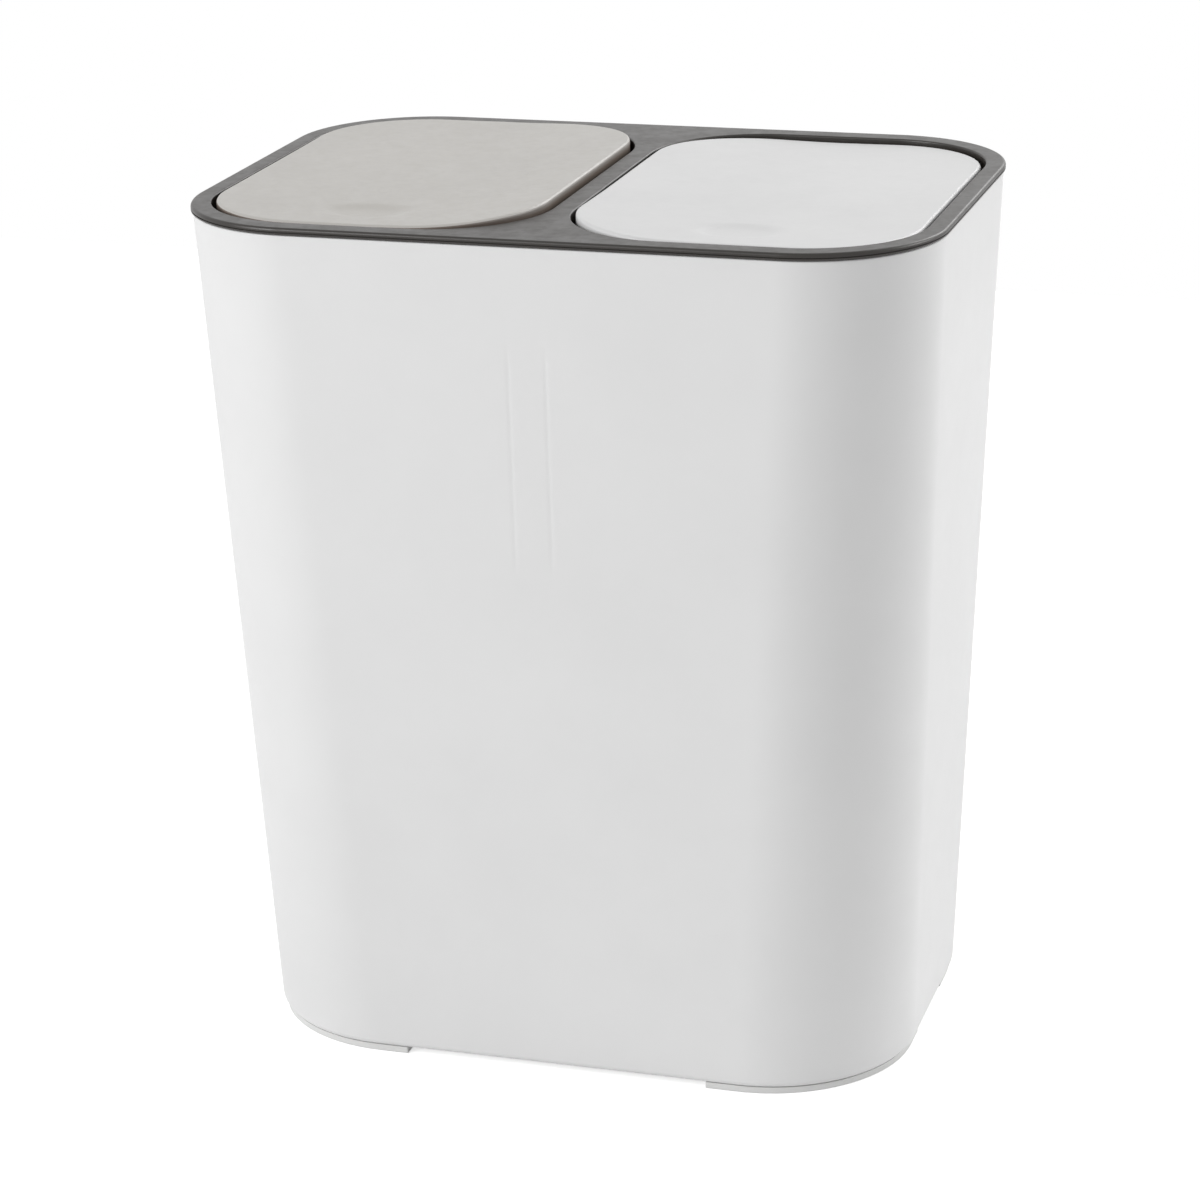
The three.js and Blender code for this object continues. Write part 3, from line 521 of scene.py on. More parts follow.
def wire(points, thickness):
    """A round wire along a line of points, with flat ends."""
    line = bpy.data.curves.new("wire", "CURVE")
    line.dimensions = "3D"
    line.bevel_depth = thickness / 2
    line.bevel_resolution = 4
    line.use_fill_caps = True
    spline = line.splines.new("POLY")
    spline.points.add(len(points) - 1)
    for place, point in zip(spline.points, points):
        place.co = (*point, 1)
    carrier = bpy.data.objects.new("wire", line)
    bpy.context.scene.collection.objects.link(carrier)
    mesh = bpy.data.meshes.new_from_object(carrier.evaluated_get(bpy.context.evaluated_depsgraph_get()))
    bm = bmesh.new()
    bm.from_mesh(mesh)
    bpy.data.curves.remove(line)
    bpy.data.meshes.remove(mesh)
    return tidy(bm)


def finish_piece(bm, node, materials, body=None):
    """Makes a finished solid the piece that stands for a node of the frame and moves with a body."""
    for face in bm.faces:
        face.smooth = True
    piece = as_object(bm, f"{node}_finished")
    piece.data.set_sharp_from_angle(angle=CRISP)
    for material in materials:
        piece.data.materials.append(material)
    if body:
        modifier = piece.modifiers.new("Weighted normals", "WEIGHTED_NORMAL")
        modifier.keep_sharp = True
        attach(piece, body)
    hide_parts(node)
    return piece


# ------------------------------------------------------------------ materials


CLOUD_SIZE = 40 * MM  # the flow clouds in a moulded plastic's colour
SPECK_SPACING = 38 * MM  # between the rare dark specks in a moulded plastic
SPECK_RADII = (0.006, 0.011)  # a speck's solid middle and its outer edge, as shares of that spacing
SPECK_SHADE = -0.7
SHEEN_SIZE = 7 * MM  # the patches of a moulded plastic's uneven gloss
RUB_SIZE = 3 * MM  # the rubbed marks that use leaves
WAVE_SIZE = 60 * MM  # the slight waves of a thin moulded wall
WAVE_DEPTH = 0.08 * MM
MIDDLE = {"From Min": 0.3, "From Max": 0.7}  # most of what a noise texture gives lies between these


def add_node(tree, kind, sockets=None, **values):
    """Adds a node, sets its own properties, and sets its inputs by name or number. An input that is given
    a socket is linked to it, and one that is given a node is linked to that node's first output."""
    node = tree.nodes.new(kind)
    for name, value in values.items():
        setattr(node, name, value)
    for key, value in (sockets or {}).items():
        source = value.outputs[0] if isinstance(value, bpy.types.Node) else value
        if isinstance(source, bpy.types.NodeSocket):
            tree.links.new(source, node.inputs[key])
        else:
            node.inputs[key].default_value = source
    return node


def start_material(name):
    """An empty material and its tree."""
    material = bpy.data.materials.new(name)
    material.use_nodes = True
    material.node_tree.nodes.clear()
    return material, material.node_tree


def tinted(base, share):
    """A colour made lighter or darker by a share, with its alpha."""
    return (*(min(c * (1 + share), 1.0) for c in base), 1.0)


def moulded_plastic(
    name, base, roughness, grain, grain_depth, ior=1.49, cloud=0.015, speck=0.25, scuff=0.0, painted_shade_fade=None
):
    """A moulded plastic: faint clouds in its colour, rare specks, an uneven gloss, scuffs and a fine grain.
    grain and grain_depth are in metres. The last argument paints shade: a colour that the plastic turns to
    higher up, and the heights between which it does so, so that it is darker towards the bottom."""
    material, tree = start_material(name)
    place = add_node(tree, "ShaderNodeTexCoord").outputs["Object"]
    clouds = add_node(tree, "ShaderNodeTexNoise", {"Vector": place, "Scale": 1 / CLOUD_SIZE, "Detail": 3.0})
    patches = add_node(tree, "ShaderNodeMapRange", {"Value": clouds, **MIDDLE})
    tones = {0: patches, 6: tinted(base, -cloud), 7: tinted(base, cloud)}
    tone = add_node(tree, "ShaderNodeMix", tones, data_type="RGBA").outputs[2]
    if speck:
        cells = add_node(tree, "ShaderNodeTexVoronoi", {"Vector": place, "Scale": 1 / SPECK_SPACING})
        edge = {"From Min": SPECK_RADII[0], "From Max": SPECK_RADII[1], "To Min": speck, "To Max": 0.0}
        dots = add_node(tree, "ShaderNodeMapRange", {"Value": cells, **edge})
        tones = {0: dots, 6: tone, 7: tinted(base, SPECK_SHADE)}
        tone = add_node(tree, "ShaderNodeMix", tones, data_type="RGBA").outputs[2]
    # Painted shade: the base colour low down turns to the other colour higher up, darker towards the bottom
    if painted_shade_fade:
        other, low, high = painted_shade_fade
        height = add_node(tree, "ShaderNodeSeparateXYZ", {"Vector": place}).outputs["Z"]
        share = add_node(tree, "ShaderNodeMapRange", {"Value": height, "From Min": low, "From Max": high})
        tones = {0: share, 6: tone, 7: tinted(other, 0)}
        tone = add_node(tree, "ShaderNodeMix", tones, data_type="RGBA").outputs[2]
    sheen = add_node(tree, "ShaderNodeTexNoise", {"Vector": place, "Scale": 1 / SHEEN_SIZE, "Detail": 4.0})
    span = {"To Min": roughness - 0.04, "To Max": roughness + 0.04}
    gloss = add_node(tree, "ShaderNodeMapRange", {"Value": sheen, **MIDDLE, **span})
    if scuff:
        rubs = add_node(tree, "ShaderNodeTexNoise", {"Vector": place, "Scale": 1 / RUB_SIZE, "Detail": 5.0})
        span = {"From Min": 0.45, "From Max": 0.75, "To Max": scuff}
        marks = add_node(tree, "ShaderNodeMapRange", {"Value": rubs, **span})
        gloss = add_node(tree, "ShaderNodeMath", {0: gloss, 1: marks}, operation="ADD")
    fine = add_node(tree, "ShaderNodeTexNoise", {"Vector": place, "Scale": 1 / grain, "Detail": 2.0})
    broad = add_node(tree, "ShaderNodeTexNoise", {"Vector": place, "Scale": 1 / WAVE_SIZE, "Detail": 1.0})
    span = {"From Min": 0.2, "From Max": 0.8, "To Max": WAVE_DEPTH / grain_depth}
    waves = add_node(tree, "ShaderNodeMapRange", {"Value": broad, **span})
    height = add_node(tree, "ShaderNodeMath", {0: fine, 1: waves}, operation="ADD")
    normal = add_node(tree, "ShaderNodeBump", {"Height": height, "Distance": grain_depth, "Strength": 1.0})
    sockets = {"Base Color": tone, "Roughness": gloss, "IOR": ior, "Normal": normal}
    plastic = add_node(tree, "ShaderNodeBsdfPrincipled", sockets)
    add_node(tree, "ShaderNodeOutputMaterial", {"Surface": plastic})
    return material


def bright_metal(name, base, roughness, grain, grain_depth):
    """A bright metal with a cloudy colour, an uneven gloss and a fine grain, in metres. It is made once,
    and every piece of that metal shares it."""
    if name in bpy.data.materials:
        return bpy.data.materials[name]
    material, tree = start_material(name)
    place = add_node(tree, "ShaderNodeTexCoord").outputs["Object"]
    clouds = add_node(tree, "ShaderNodeTexNoise", {"Vector": place, "Scale": 1 / (3 * MM), "Detail": 3.0})
    patches = add_node(tree, "ShaderNodeMapRange", {"Value": clouds, **MIDDLE})
    tones = {0: patches, 6: tinted(base, -0.12), 7: tinted(base, 0.05)}
    tone = add_node(tree, "ShaderNodeMix", tones, data_type="RGBA").outputs[2]
    sheen = add_node(tree, "ShaderNodeTexNoise", {"Vector": place, "Scale": 1 / (1.5 * MM), "Detail": 4.0})
    span = {"To Min": roughness - 0.08, "To Max": roughness + 0.12}
    gloss = add_node(tree, "ShaderNodeMapRange", {"Value": sheen, **MIDDLE, **span})
    fine = add_node(tree, "ShaderNodeTexNoise", {"Vector": place, "Scale": 1 / grain, "Detail": 3.0})
    normal = add_node(tree, "ShaderNodeBump", {"Height": fine, "Distance": grain_depth, "Strength": 1.0})
    sockets = {"Base Color": tone, "Roughness": gloss, "Metallic": 1.0, "Normal": normal}
    metal = add_node(tree, "ShaderNodeBsdfPrincipled", sockets)
    add_node(tree, "ShaderNodeOutputMaterial", {"Surface": metal})
    return material


def spark_textured_polypropylene(name, base):
    """Moulded in a spark-eroded tool, which leaves a fine, dull grain that spreads every highlight.
    The real grain is about 0.1 mm; it is drawn at 0.9 mm so that it shows."""
    return moulded_plastic(name, base, roughness=0.5, grain=0.9 * MM, grain_depth=0.012 * MM, cloud=0.012)


def satin_polypropylene(name, base, roughness, scuff=0.0, painted_shade_fade=None):
    """Moulded in a lightly polished tool: soft, wide highlights, with faint rubbed marks from use.
    The real grain is about 0.1 mm; it is drawn at 1.4 mm so that it shows."""
    looks = {"roughness": roughness, "scuff": scuff, "painted_shade_fade": painted_shade_fade}
    return moulded_plastic(name, base, grain=1.4 * MM, grain_depth=0.006 * MM, cloud=0.02, **looks)


def bucket_polypropylene(base):
    """Moulded in a plain polished tool, a little glossy, with flow clouds in its grey."""
    looks = {"roughness": 0.35, "grain": 2.5 * MM, "grain_depth": 0.004 * MM, "cloud": 0.035}
    return moulded_plastic("moulded_grey_polypropylene", base, **looks)


def moulded_acetal(base):
    """Moulded acetal: near black, hard and slippery, with a tight dull sheen."""
    looks = {"roughness": 0.4, "grain": 0.6 * MM, "grain_depth": 0.006 * MM, "ior": 1.48}
    return moulded_plastic("moulded_black_acetal", base, cloud=0.05, speck=0.0, **looks)


def zinc_plated_steel(base):
    """Barrel-plated steel: bright blue-grey, with a cloudy shine and faint turning marks."""
    return bright_metal("zinc_plated_steel", base, roughness=0.28, grain=0.35 * MM, grain_depth=0.004 * MM)


def drawn_spring_wire(base):
    """Cold-drawn spring wire, lightly oiled: darker than plating, with fine lines from the die."""
    return bright_metal("drawn_spring_wire", base, roughness=0.32, grain=0.2 * MM, grain_depth=0.003 * MM)


# ------------------------------------------------------------------ places worked out from the frame


def side_middle(hand):
    """X of the middle of a lid and of its latch."""
    return centre(f"lid_{hand}")[0]


def frame_top():
    return box("lid_frame")[1][2]


def hinge_line():
    """Y and Z of the line that both lids turn on."""
    return centre("hinge_pin_centre")[1:]


def hinge_rod(radius, start, end, chamfer=0.0):
    """A round bar along that line, between two places in X."""
    y, z = hinge_line()
    return rod(radius, (start, y, z), (end, y, z), chamfer)


def screw_places(hand):
    """X and Z of the two screws of a latch."""
    return [centre(f"latch_screw_{hand}_{i}")[::2] for i in (1, 2)]


def opening_plan(hand):
    """The outline of a lid's opening in the frame."""
    sizes = settings()
    return box_plan(f"lid_{hand}", sizes.frame.opening_corner - sizes.lids.gap).inset(-sizes.lids.gap)


def tub_plan(z):
    """The tub's outline at a height, from the base to the top edge."""
    tub = settings().tub
    low, high = box("body_shell")
    top = box_plan("body_shell", tub.top_corner)
    base = Plan(
        top.x0 + tub.side_draft,
        top.x1 - tub.side_draft,
        top.y0 + tub.front_draft,
        top.y1 - tub.front_draft,
        [tub.base_corner] * 4,
    )
    return base.blend(top, (z - low[2]) / (high[2] - low[2]))


def bucket_plan(hand, z):
    """The space that one bucket has at a height."""
    sizes = settings()
    bucket = sizes.buckets
    low, high = box(f"bucket_{hand}")
    space = tub_plan(z).inset(sizes.tub.wall + bucket.gap)
    share = (high[2] - z) / (high[2] - low[2])
    inner = bucket.from_middle + bucket.inner_draft * max(share, 0)
    wide, tight = space.radii[0], bucket.inner_corner
    if SIDES[hand] > 0:
        return Plan(inner, space.x1, space.y0, space.y1, [tight, wide, wide, tight])
    return Plan(space.x0, -inner, space.y0, space.y1, [wide, tight, tight, wide])


def lid_rise(hand, x, y):
    """How far a lid's warped panel stands above the frame's top at a place."""
    low, high = box(f"lid_{hand}")
    heights = WARPS[hand]
    across = -SIDES[hand] * (2 * x - low[0] - high[0]) / (high[0] - low[0])  # 1 at the centre bar
    along = (2 * y - low[1] - high[1]) / (high[1] - low[1])  # 1 at the back
    inner, outer = max(across, 0) ** 2, max(-across, 0) ** 2
    back, front = max(along, 0) ** 2, max(-along, 0) ** 2
    calm = CORNER_CALM + (1 - CORNER_CALM) * (1 - min(abs(across), 1))
    rise = heights["base"] + heights["inner"] * inner + heights["outer"] * outer
    rise += (heights["back"] * back + heights["front"] * front) * calm
    return (rise + heights["inner_front"] * inner * front) * MM


# ------------------------------------------------------------------ the tub and its feet

WALL_ROWS = 8  # rows of faces up the tub's walls
SINK_FADE = 5 * MM  # length over which the sink lines fade out at their ends
SINK_CUTS = 3  # faces across each half of a sink line
FEET = [f"foot_{end}_{hand}" for end in ("front", "back") for hand in SIDES]


def tub_shell():
    """The tub: up its outer wall, over its lip and down to its floor inside, with ribs and peg holes."""
    tub = settings().tub
    low, high = box("body_shell")
    base, top = low[2], high[2]
    wall_low, wall_high = base + tub.base_round, top - tub.lip_round
    rows = [wall_low + (wall_high - wall_low) * i / WALL_ROWS for i in range(WALL_ROWS + 1)]
    for end in (tub.rib_bottom, tub.rib_top):
        rows += [end - SINK_FADE, end + SINK_FADE]
    lip = quarter(tub.lip_round)
    levels = [(base + down, inset) for inset, down in reversed(quarter(tub.base_round))]
    levels += [(z, 0.0) for z in sorted(rows)[1:-1]]
    levels += [(top - down, inset) for inset, down in lip]
    levels += [(top - down, tub.wall - inset) for inset, down in reversed(lip)]
    levels += [(z, tub.wall) for z in sorted(rows[2:WALL_ROWS:2], reverse=True)]
    levels += [(base + tub.floor + down, tub.wall + inset) for inset, down in quarter(tub.inner_fillet)]
    bm = shell([(tub_plan(z), inset, z) for z, inset in levels])
    draw_sink_lines(bm)
    bm = join(bm, *[guide_rib(side, hand) for side in (-1, 1) for hand in (-1, 1)])
    return cut(bm, *[foot_peg_hole(node) for node in FEET])


def draw_sink_lines(bm):
    """Sinks a faint upright line into the outer wall over each guide rib."""
    tub = settings().tub
    for hand in (-1, 1):
        middle = hand * tub.rib_spacing / 2
        for step in range(-SINK_CUTS, SINK_CUTS + 1):
            slice_at(bm, (middle + step * tub.sink_width / SINK_CUTS, 0, 0), (1, 0, 0))
    for vert in bm.verts:
        x, y, z = vert.co
        aside = abs(abs(x) - tub.rib_spacing / 2) / tub.sink_width
        inside = min(z - tub.rib_bottom + SINK_FADE, tub.rib_top + SINK_FADE - z) / (2 * SINK_FADE)
        if aside >= 1 or inside <= 0 or tub_plan(z).depth(x, y) > tub.wall / 2:
            continue
        sink = tub.sink_depth * math.cos(aside * math.pi / 2) ** 2 * min(inside, 1)
        vert.co.y -= math.copysign(sink, y)


def guide_rib(side, hand):
    """A rib that stands off the front or the back wall, between the buckets."""
    tub = settings().tub
    middle = hand * tub.rib_spacing / 2
    half = tub.rib_thickness / 2
    rib = block(middle - half, middle + half, 0, tub.rib_reach, tub.rib_bottom, tub.rib_top, half / 2)
    for vert in rib.verts:
        wall = tub_plan(vert.co.z).y1 - tub.wall / 2
        vert.co.y = side * (wall - vert.co.y * (1 + tub.wall / 2 / tub.rib_reach))
    return tidy(rib)


def foot_signs(node):
    """Which way a foot lies from the middle, in X and in Y."""
    return [math.copysign(1, place) for place in centre(node)[:2]]


def foot_peg_place(node):
    """The middle of a foot's peg, on the middle of its round."""
    tub = settings().tub
    plan = tub_plan(box("body_shell")[0][2])
    reach = (tub.base_corner - tub.foot_inset - tub.foot_width / 2) * math.sqrt(0.5)
    sx, sy = foot_signs(node)
    return sx * (plan.x1 - tub.base_corner + reach), sy * (plan.y1 - tub.base_corner + reach)


def foot_peg_hole(node):
    """The hole in the tub's floor for a foot's peg."""
    tub = settings().tub
    gap = settings().hardware.seat_gap
    x, y = foot_peg_place(node)
    low, high = box("body_shell")[0][2] - gap, box(node)[1][2] + gap
    return rod(tub.foot_peg + tub.foot_peg_gap, (x, y, low), (x, y, high))


def foot_pad(node):
    """A pad that follows the tub's corner, with a peg up into the floor."""
    tub = settings().tub
    base = box("body_shell")[0][2]
    plan = tub_plan(base)
    outer, inner = tub.foot_inset, tub.foot_inset + tub.foot_width
    edge = quarter(tub.foot_edge, 4)
    levels = [(plan, outer + inset, down) for inset, down in reversed(edge)]
    levels += [(plan, outer, base), (plan, inner, base)]
    levels += [(plan, inner - inset, down) for inset, down in edge]
    bm = bmesh.new()
    stack(bm, levels, closed=True)
    sx, sy = foot_signs(node)
    end_x = plan.x1 - tub.base_corner - tub.foot_reach
    end_y = plan.y1 - tub.base_corner - tub.foot_reach
    slice_at(bm, (sx * end_x, 0, 0), (-sx, 0, 0), keep_below=True)
    slice_at(bm, (0, sy * end_y, 0), (0, -sy, 0), keep_below=True)
    bmesh.ops.holes_fill(bm, edges=bm.edges, sides=0)
    tidy(bm)
    x, y = foot_peg_place(node)
    peg = rod(tub.foot_peg, (x, y, base / 2), (x, y, box(node)[1][2]), chamfer=tub.foot_edge / 2)
    return join(bm, peg)


# ------------------------------------------------------------------ the inner buckets

BUCKET_ROWS = 4  # rows of faces up a bucket's walls


def inner_bucket(hand):
    """A bucket: up its outer wall, round its turned-down lip, and down to its floor inside."""
    bucket = settings().buckets
    low, high = box(f"bucket_{hand}")
    base, rim = low[2], high[2]
    lip_bottom = rim - bucket.lip_depth
    lip = bucket_plan(hand, lip_bottom)
    outer = bucket.rim_width
    inner = outer + bucket.wall
    edge = quarter(bucket.edge_round, 4)
    floor = quarter(bucket.floor_round, 6)
    underside = rim - bucket.rim_thickness
    start = base + bucket.floor_round
    wall_rows = [start + (underside - start) * i / BUCKET_ROWS for i in range(1, BUCKET_ROWS)]

    def at(z, inset):
        return bucket_plan(hand, z), inset, z

    levels = [at(base + down, outer + inset) for inset, down in reversed(floor)]
    levels += [at(z, outer) for z in wall_rows]
    levels += [at(underside, outer), (lip, bucket.lip_wall, underside)]
    levels += [(lip, bucket.lip_wall, lip_bottom), (lip, 0.0, lip_bottom)]
    levels += [(lip, inset, rim - down) for inset, down in edge]
    levels += [at(rim - down, inner - inset) for inset, down in reversed(edge)]
    levels += [at(z, inner) for z in reversed(wall_rows)]
    levels += [at(base + bucket.floor + down, inner + inset) for inset, down in floor]
    return shell(levels)


# ------------------------------------------------------------------ the lid frame


def lid_frame_shell():
    """The frame: a flange with a grooved side, a skirt that sits in the tub, and two walled openings."""
    sizes = settings()
    part = sizes.frame
    top = frame_top()
    underside = top - part.flange
    outline = box_plan("lid_frame", part.corner)
    skirt_bottom, well_bottom = top - part.skirt_depth, top - part.well_depth
    skirt = frame_skirt_plan()
    groove = top - part.groove_drop
    slope = part.groove_height / 4
    levels = [(outline, inset, top - down) for inset, down in reversed(quarter(part.edge_round))]
    levels += [
        (outline, 0.0, groove),
        (outline, part.groove_depth, groove - slope),
        (outline, part.groove_depth, groove - part.groove_height + slope),
        (outline, 0.0, groove - part.groove_height),
    ]
    levels += [(outline, inset, underside + down) for inset, down in quarter(part.lower_round, 3)]
    levels += [(skirt, 0.0, underside), (skirt, 0.0, skirt_bottom)]
    levels += [(skirt, part.skirt_wall, skirt_bottom), (skirt, part.skirt_wall, underside)]
    bm = bmesh.new()
    ends = [stack(bm, levels)]
    for hand in SIDES:
        opening = opening_plan(hand)
        well = [(opening, -inset, top - down) for inset, down in reversed(quarter(part.opening_round, 4))]
        well += [(opening, 0.0, well_bottom), (opening, -part.well_wall, well_bottom)]
        well += [(opening, -part.well_wall, underside)]
        ends.append(stack(bm, well))
    top_loops, under_loops = zip(*ends)
    fill(bm, 1, *top_loops)
    fill(bm, -1, *under_loops)
    tidy(bm)
    bm = join(bm, *hinge_bosses(), *latch_aprons())
    bm = join(bm, *screw_rods(part.screw_boss, part.screw_boss_length, part.well_wall / 2))
    far = box("lid_frame")[1][0]
    bm = cut(bm, hinge_rod(part.boss_hole, -far, far))
    reach = 2 * part.screw_boss_length
    return cut(bm, *leg_holes(), *screw_rods(part.screw_hole, reach, reach))


def frame_skirt_plan():
    """The outer outline of the skirt that sits in the tub."""
    sizes = settings()
    bottom = frame_top() - sizes.frame.skirt_depth
    return tub_plan(bottom).inset(sizes.tub.wall + sizes.frame.skirt_gap)


def hinge_bosses():
    """The bosses that hold the hinge pins: one in the centre bar and one at each side."""
    part = settings().frame
    opening = opening_plan("right")
    centre_end = abs(opening.x0) - HAIR
    start = opening.x1 + part.well_wall / 2
    end = frame_skirt_plan().x1 - part.skirt_wall / 2
    spans = [(-centre_end, centre_end)] + [(side * start, side * end) for side in SIDES.values()]
    return [hinge_rod(part.boss, *span) for span in spans]


def latch_aprons():
    """The walls that reach down behind the latch housings."""
    sizes = settings()
    part = sizes.frame
    top = frame_top() - part.well_depth / 2
    aprons = []
    for hand in SIDES:
        front = opening_plan(hand).y0
        low, high = box(f"latch_housing_{hand}")
        bottom = (low[2] + high[2] - sizes.hardware.ear_height) / 2 - sizes.hardware.seat_gap
        x0, x1 = low[0] - part.apron_margin, high[0] + part.apron_margin
        aprons.append(block(x0, x1, front - part.well_wall, front - HAIR, bottom, top))
    return aprons


def leg_holes():
    """The holes for the lid springs' fixed legs."""
    sizes = settings()
    part = sizes.frame
    y, z = hinge_line()
    leg_z = z - sizes.hardware.lift_coil
    wall = opening_plan("right").x1
    start, end = wall - part.well_wall, wall + part.leg_hole_depth
    return [rod(part.leg_hole, (side * start, y, leg_z), (side * end, y, leg_z)) for side in SIDES.values()]


def screw_rods(radius, forward, inward):
    """Round bars on the latch screws' lines, which reach so far to both sides of the wall's outer face."""
    rods = []
    for hand in SIDES:
        wall = opening_plan(hand).y0 - settings().frame.well_wall
        for x, z in screw_places(hand):
            rods.append(rod(radius, (x, wall - forward, z), (x, wall + inward, z)))
    return rods


# ------------------------------------------------------------------ the press lids

PANEL_STEP = 6 * MM  # between the rings that let a panel bend
PANEL_RINGS = 7
CROSS_STEP = 5 * MM  # between the cuts across a panel's straight sides
DIMPLE_REACH = 1.6  # square of how far from the dimple's middle its soft edge runs, in dimple radii
DIMPLE_SOFTNESS = 0.01  # how gently the dimple's edge turns over
STEEP = 0.5  # faces whose normals rise less than this are a lid's sides
DIMPLE_CUTS = 3  # cuts across each of the panel's faces that the dimple covers
DIMPLE_FULLNESS = 0.38  # below 1 the dimple's floor is flatter and its sides are steeper


def press_lid(hand):
    """A lid: a thin warped panel with a rolled edge, a skirt, the dimple, two ears and the striker."""
    sizes = settings()
    lid = sizes.lids
    top = frame_top()
    plan = box_plan(f"lid_{hand}", sizes.frame.opening_corner - lid.gap)
    underside = top - lid.thickness
    skirt_bottom = top - lid.skirt_depth
    insets = [PANEL_STEP * (i + 1) for i in range(PANEL_RINGS)]
    lower = quarter(lid.skirt_round, 3)
    levels = [(plan, inset, underside) for inset in reversed(insets)]
    levels += [(plan, lid.skirt_wall, underside)]
    levels += [(plan, lid.skirt_wall - inset, skirt_bottom + down) for inset, down in lower]
    levels += [(plan, inset, skirt_bottom + down) for inset, down in reversed(lower)]
    levels += [(plan, inset, top - down) for inset, down in quarter(lid.edge_round, 6)]
    levels += [(plan, inset, top) for inset in insets]
    bm = shell(levels)
    middle = centre(f"lid_{hand}")
    for axis, size in ((0, plan.x1 - plan.x0), (1, plan.y1 - plan.y0)):
        cuts = int((size / 2 - plan.radii[0]) / CROSS_STEP)
        normal = (1 - axis, axis, 0)
        for step in range(-cuts, cuts + 1):
            slice_at(bm, [n * (m + step * CROSS_STEP) for n, m in zip(normal, middle)], normal)
    sink_dimple(bm, middle[0], plan.y0 + lid.dimple_setback, top)
    for vert in bm.verts:
        vert.co.z += lid_rise(hand, vert.co.x, vert.co.y)
    bm = join(bm, *lid_ears(hand), lid_striker(hand))
    bm = cut(bm, *lid_cuts(hand))
    # The skirt's steep faces take the second material; on the grey lid that material is painted shade,
    # darker low down
    for face in bm.faces:
        x, y, _ = face.calc_center_median()
        face.normal_update()
        if plan.depth(x, y) < lid.skirt_wall - lid.skirt_round and face.normal.z < STEEP:
            face.material_index = 1
    return bm


def sink_dimple(bm, x, y, top):
    """Sinks the thumb dimple, with a soft edge, into a panel that is still flat."""
    lid = settings().lids

    def spread_at(place):
        across, along = (place.x - x) / (lid.dimple_width / 2), (place.y - y) / (lid.dimple_length / 2)
        return across**2 + along**2

    def on_top(place):
        return place.z > top - HAIR and spread_at(place) < DIMPLE_REACH

    faces = [f for f in bm.faces if on_top(f.calc_center_median())]
    edges = list({e for f in faces for e in f.edges})
    bmesh.ops.subdivide_edges(bm, edges=edges, cuts=DIMPLE_CUTS, use_grid_fill=True)
    bmesh.ops.triangulate(bm, faces=[f for f in bm.faces if len(f.verts) > 4])

    def soft(value):
        return (value + math.sqrt(value * value + DIMPLE_SOFTNESS)) / 2

    far = soft(1 - DIMPLE_REACH)
    for vert in bm.verts:
        if on_top(vert.co):
            share = (soft(1 - spread_at(vert.co)) - far) / (soft(1) - far)
            vert.co.z -= lid.dimple_depth * max(share, 0) ** DIMPLE_FULLNESS


def lid_ears(hand):
    """The two ears that turn on the hinge pins."""
    lid = settings().lids
    low, high = box(f"lid_{hand}")
    y, z = hinge_line()
    half = lid.ear_radius - HAIR
    ears = []
    for way in (-1, 1):
        outer = side_middle(hand) + way * ((high[0] - low[0]) / 2 - lid.ear_inset)
        inner = outer - way * lid.ear_thickness
        root = frame_top() + lid_rise(hand, outer, y) - lid.thickness / 2
        web = block(inner, outer, y - half, y + half, z, root)
        ears.append(join(hinge_rod(lid.ear_radius, inner, outer), web))
    return ears


def lid_striker(hand):
    """The tongue under the dimple that the latch grips."""
    lid = settings().lids
    hardware = settings().hardware
    middle = side_middle(hand)
    plunger = f"latch_plunger_{hand}"
    y = centre(plunger)[1]
    tip = box(plunger)[1][2] - hardware.slot_depth + hardware.seat_gap
    root = frame_top() + lid_rise(hand, middle, y) - lid.thickness / 2
    half, reach = lid.striker_thickness / 2, lid.striker_length / 2
    return block(middle - half, middle + half, y - reach, y + reach, tip, root, half / 4)


def lid_cuts(hand):
    """The holes for the pins, and the notch that lets the spring's leg past the skirt."""
    lid = settings().lids
    side = SIDES[hand]
    middle = side_middle(hand)
    low, high = box(f"lid_{hand}")
    half = (high[0] - low[0]) / 2
    near, far = half - lid.ear_inset - 2 * lid.ear_thickness, half - lid.ear_inset + lid.ear_thickness
    radius = settings().frame.boss_hole
    holes = [hinge_rod(radius, middle + way * near, middle + way * far) for way in (-1, 1)]
    start, end = middle + side * (half - 2 * lid.skirt_wall), middle + side * (half + lid.gap)
    return *holes, hinge_rod(lid.notch, start, end)


# ------------------------------------------------------------------ pins and springs

WIRE_STEPS = 28  # points in each turn of a spring
ELBOW_STEPS = 6  # points in the bend between a leg and its coil


def hinge_pin(node):
    low, high = box(node)
    radius = (high[2] - low[2]) / 2
    return hinge_rod(radius, low[0], high[0], chamfer=radius / 4)


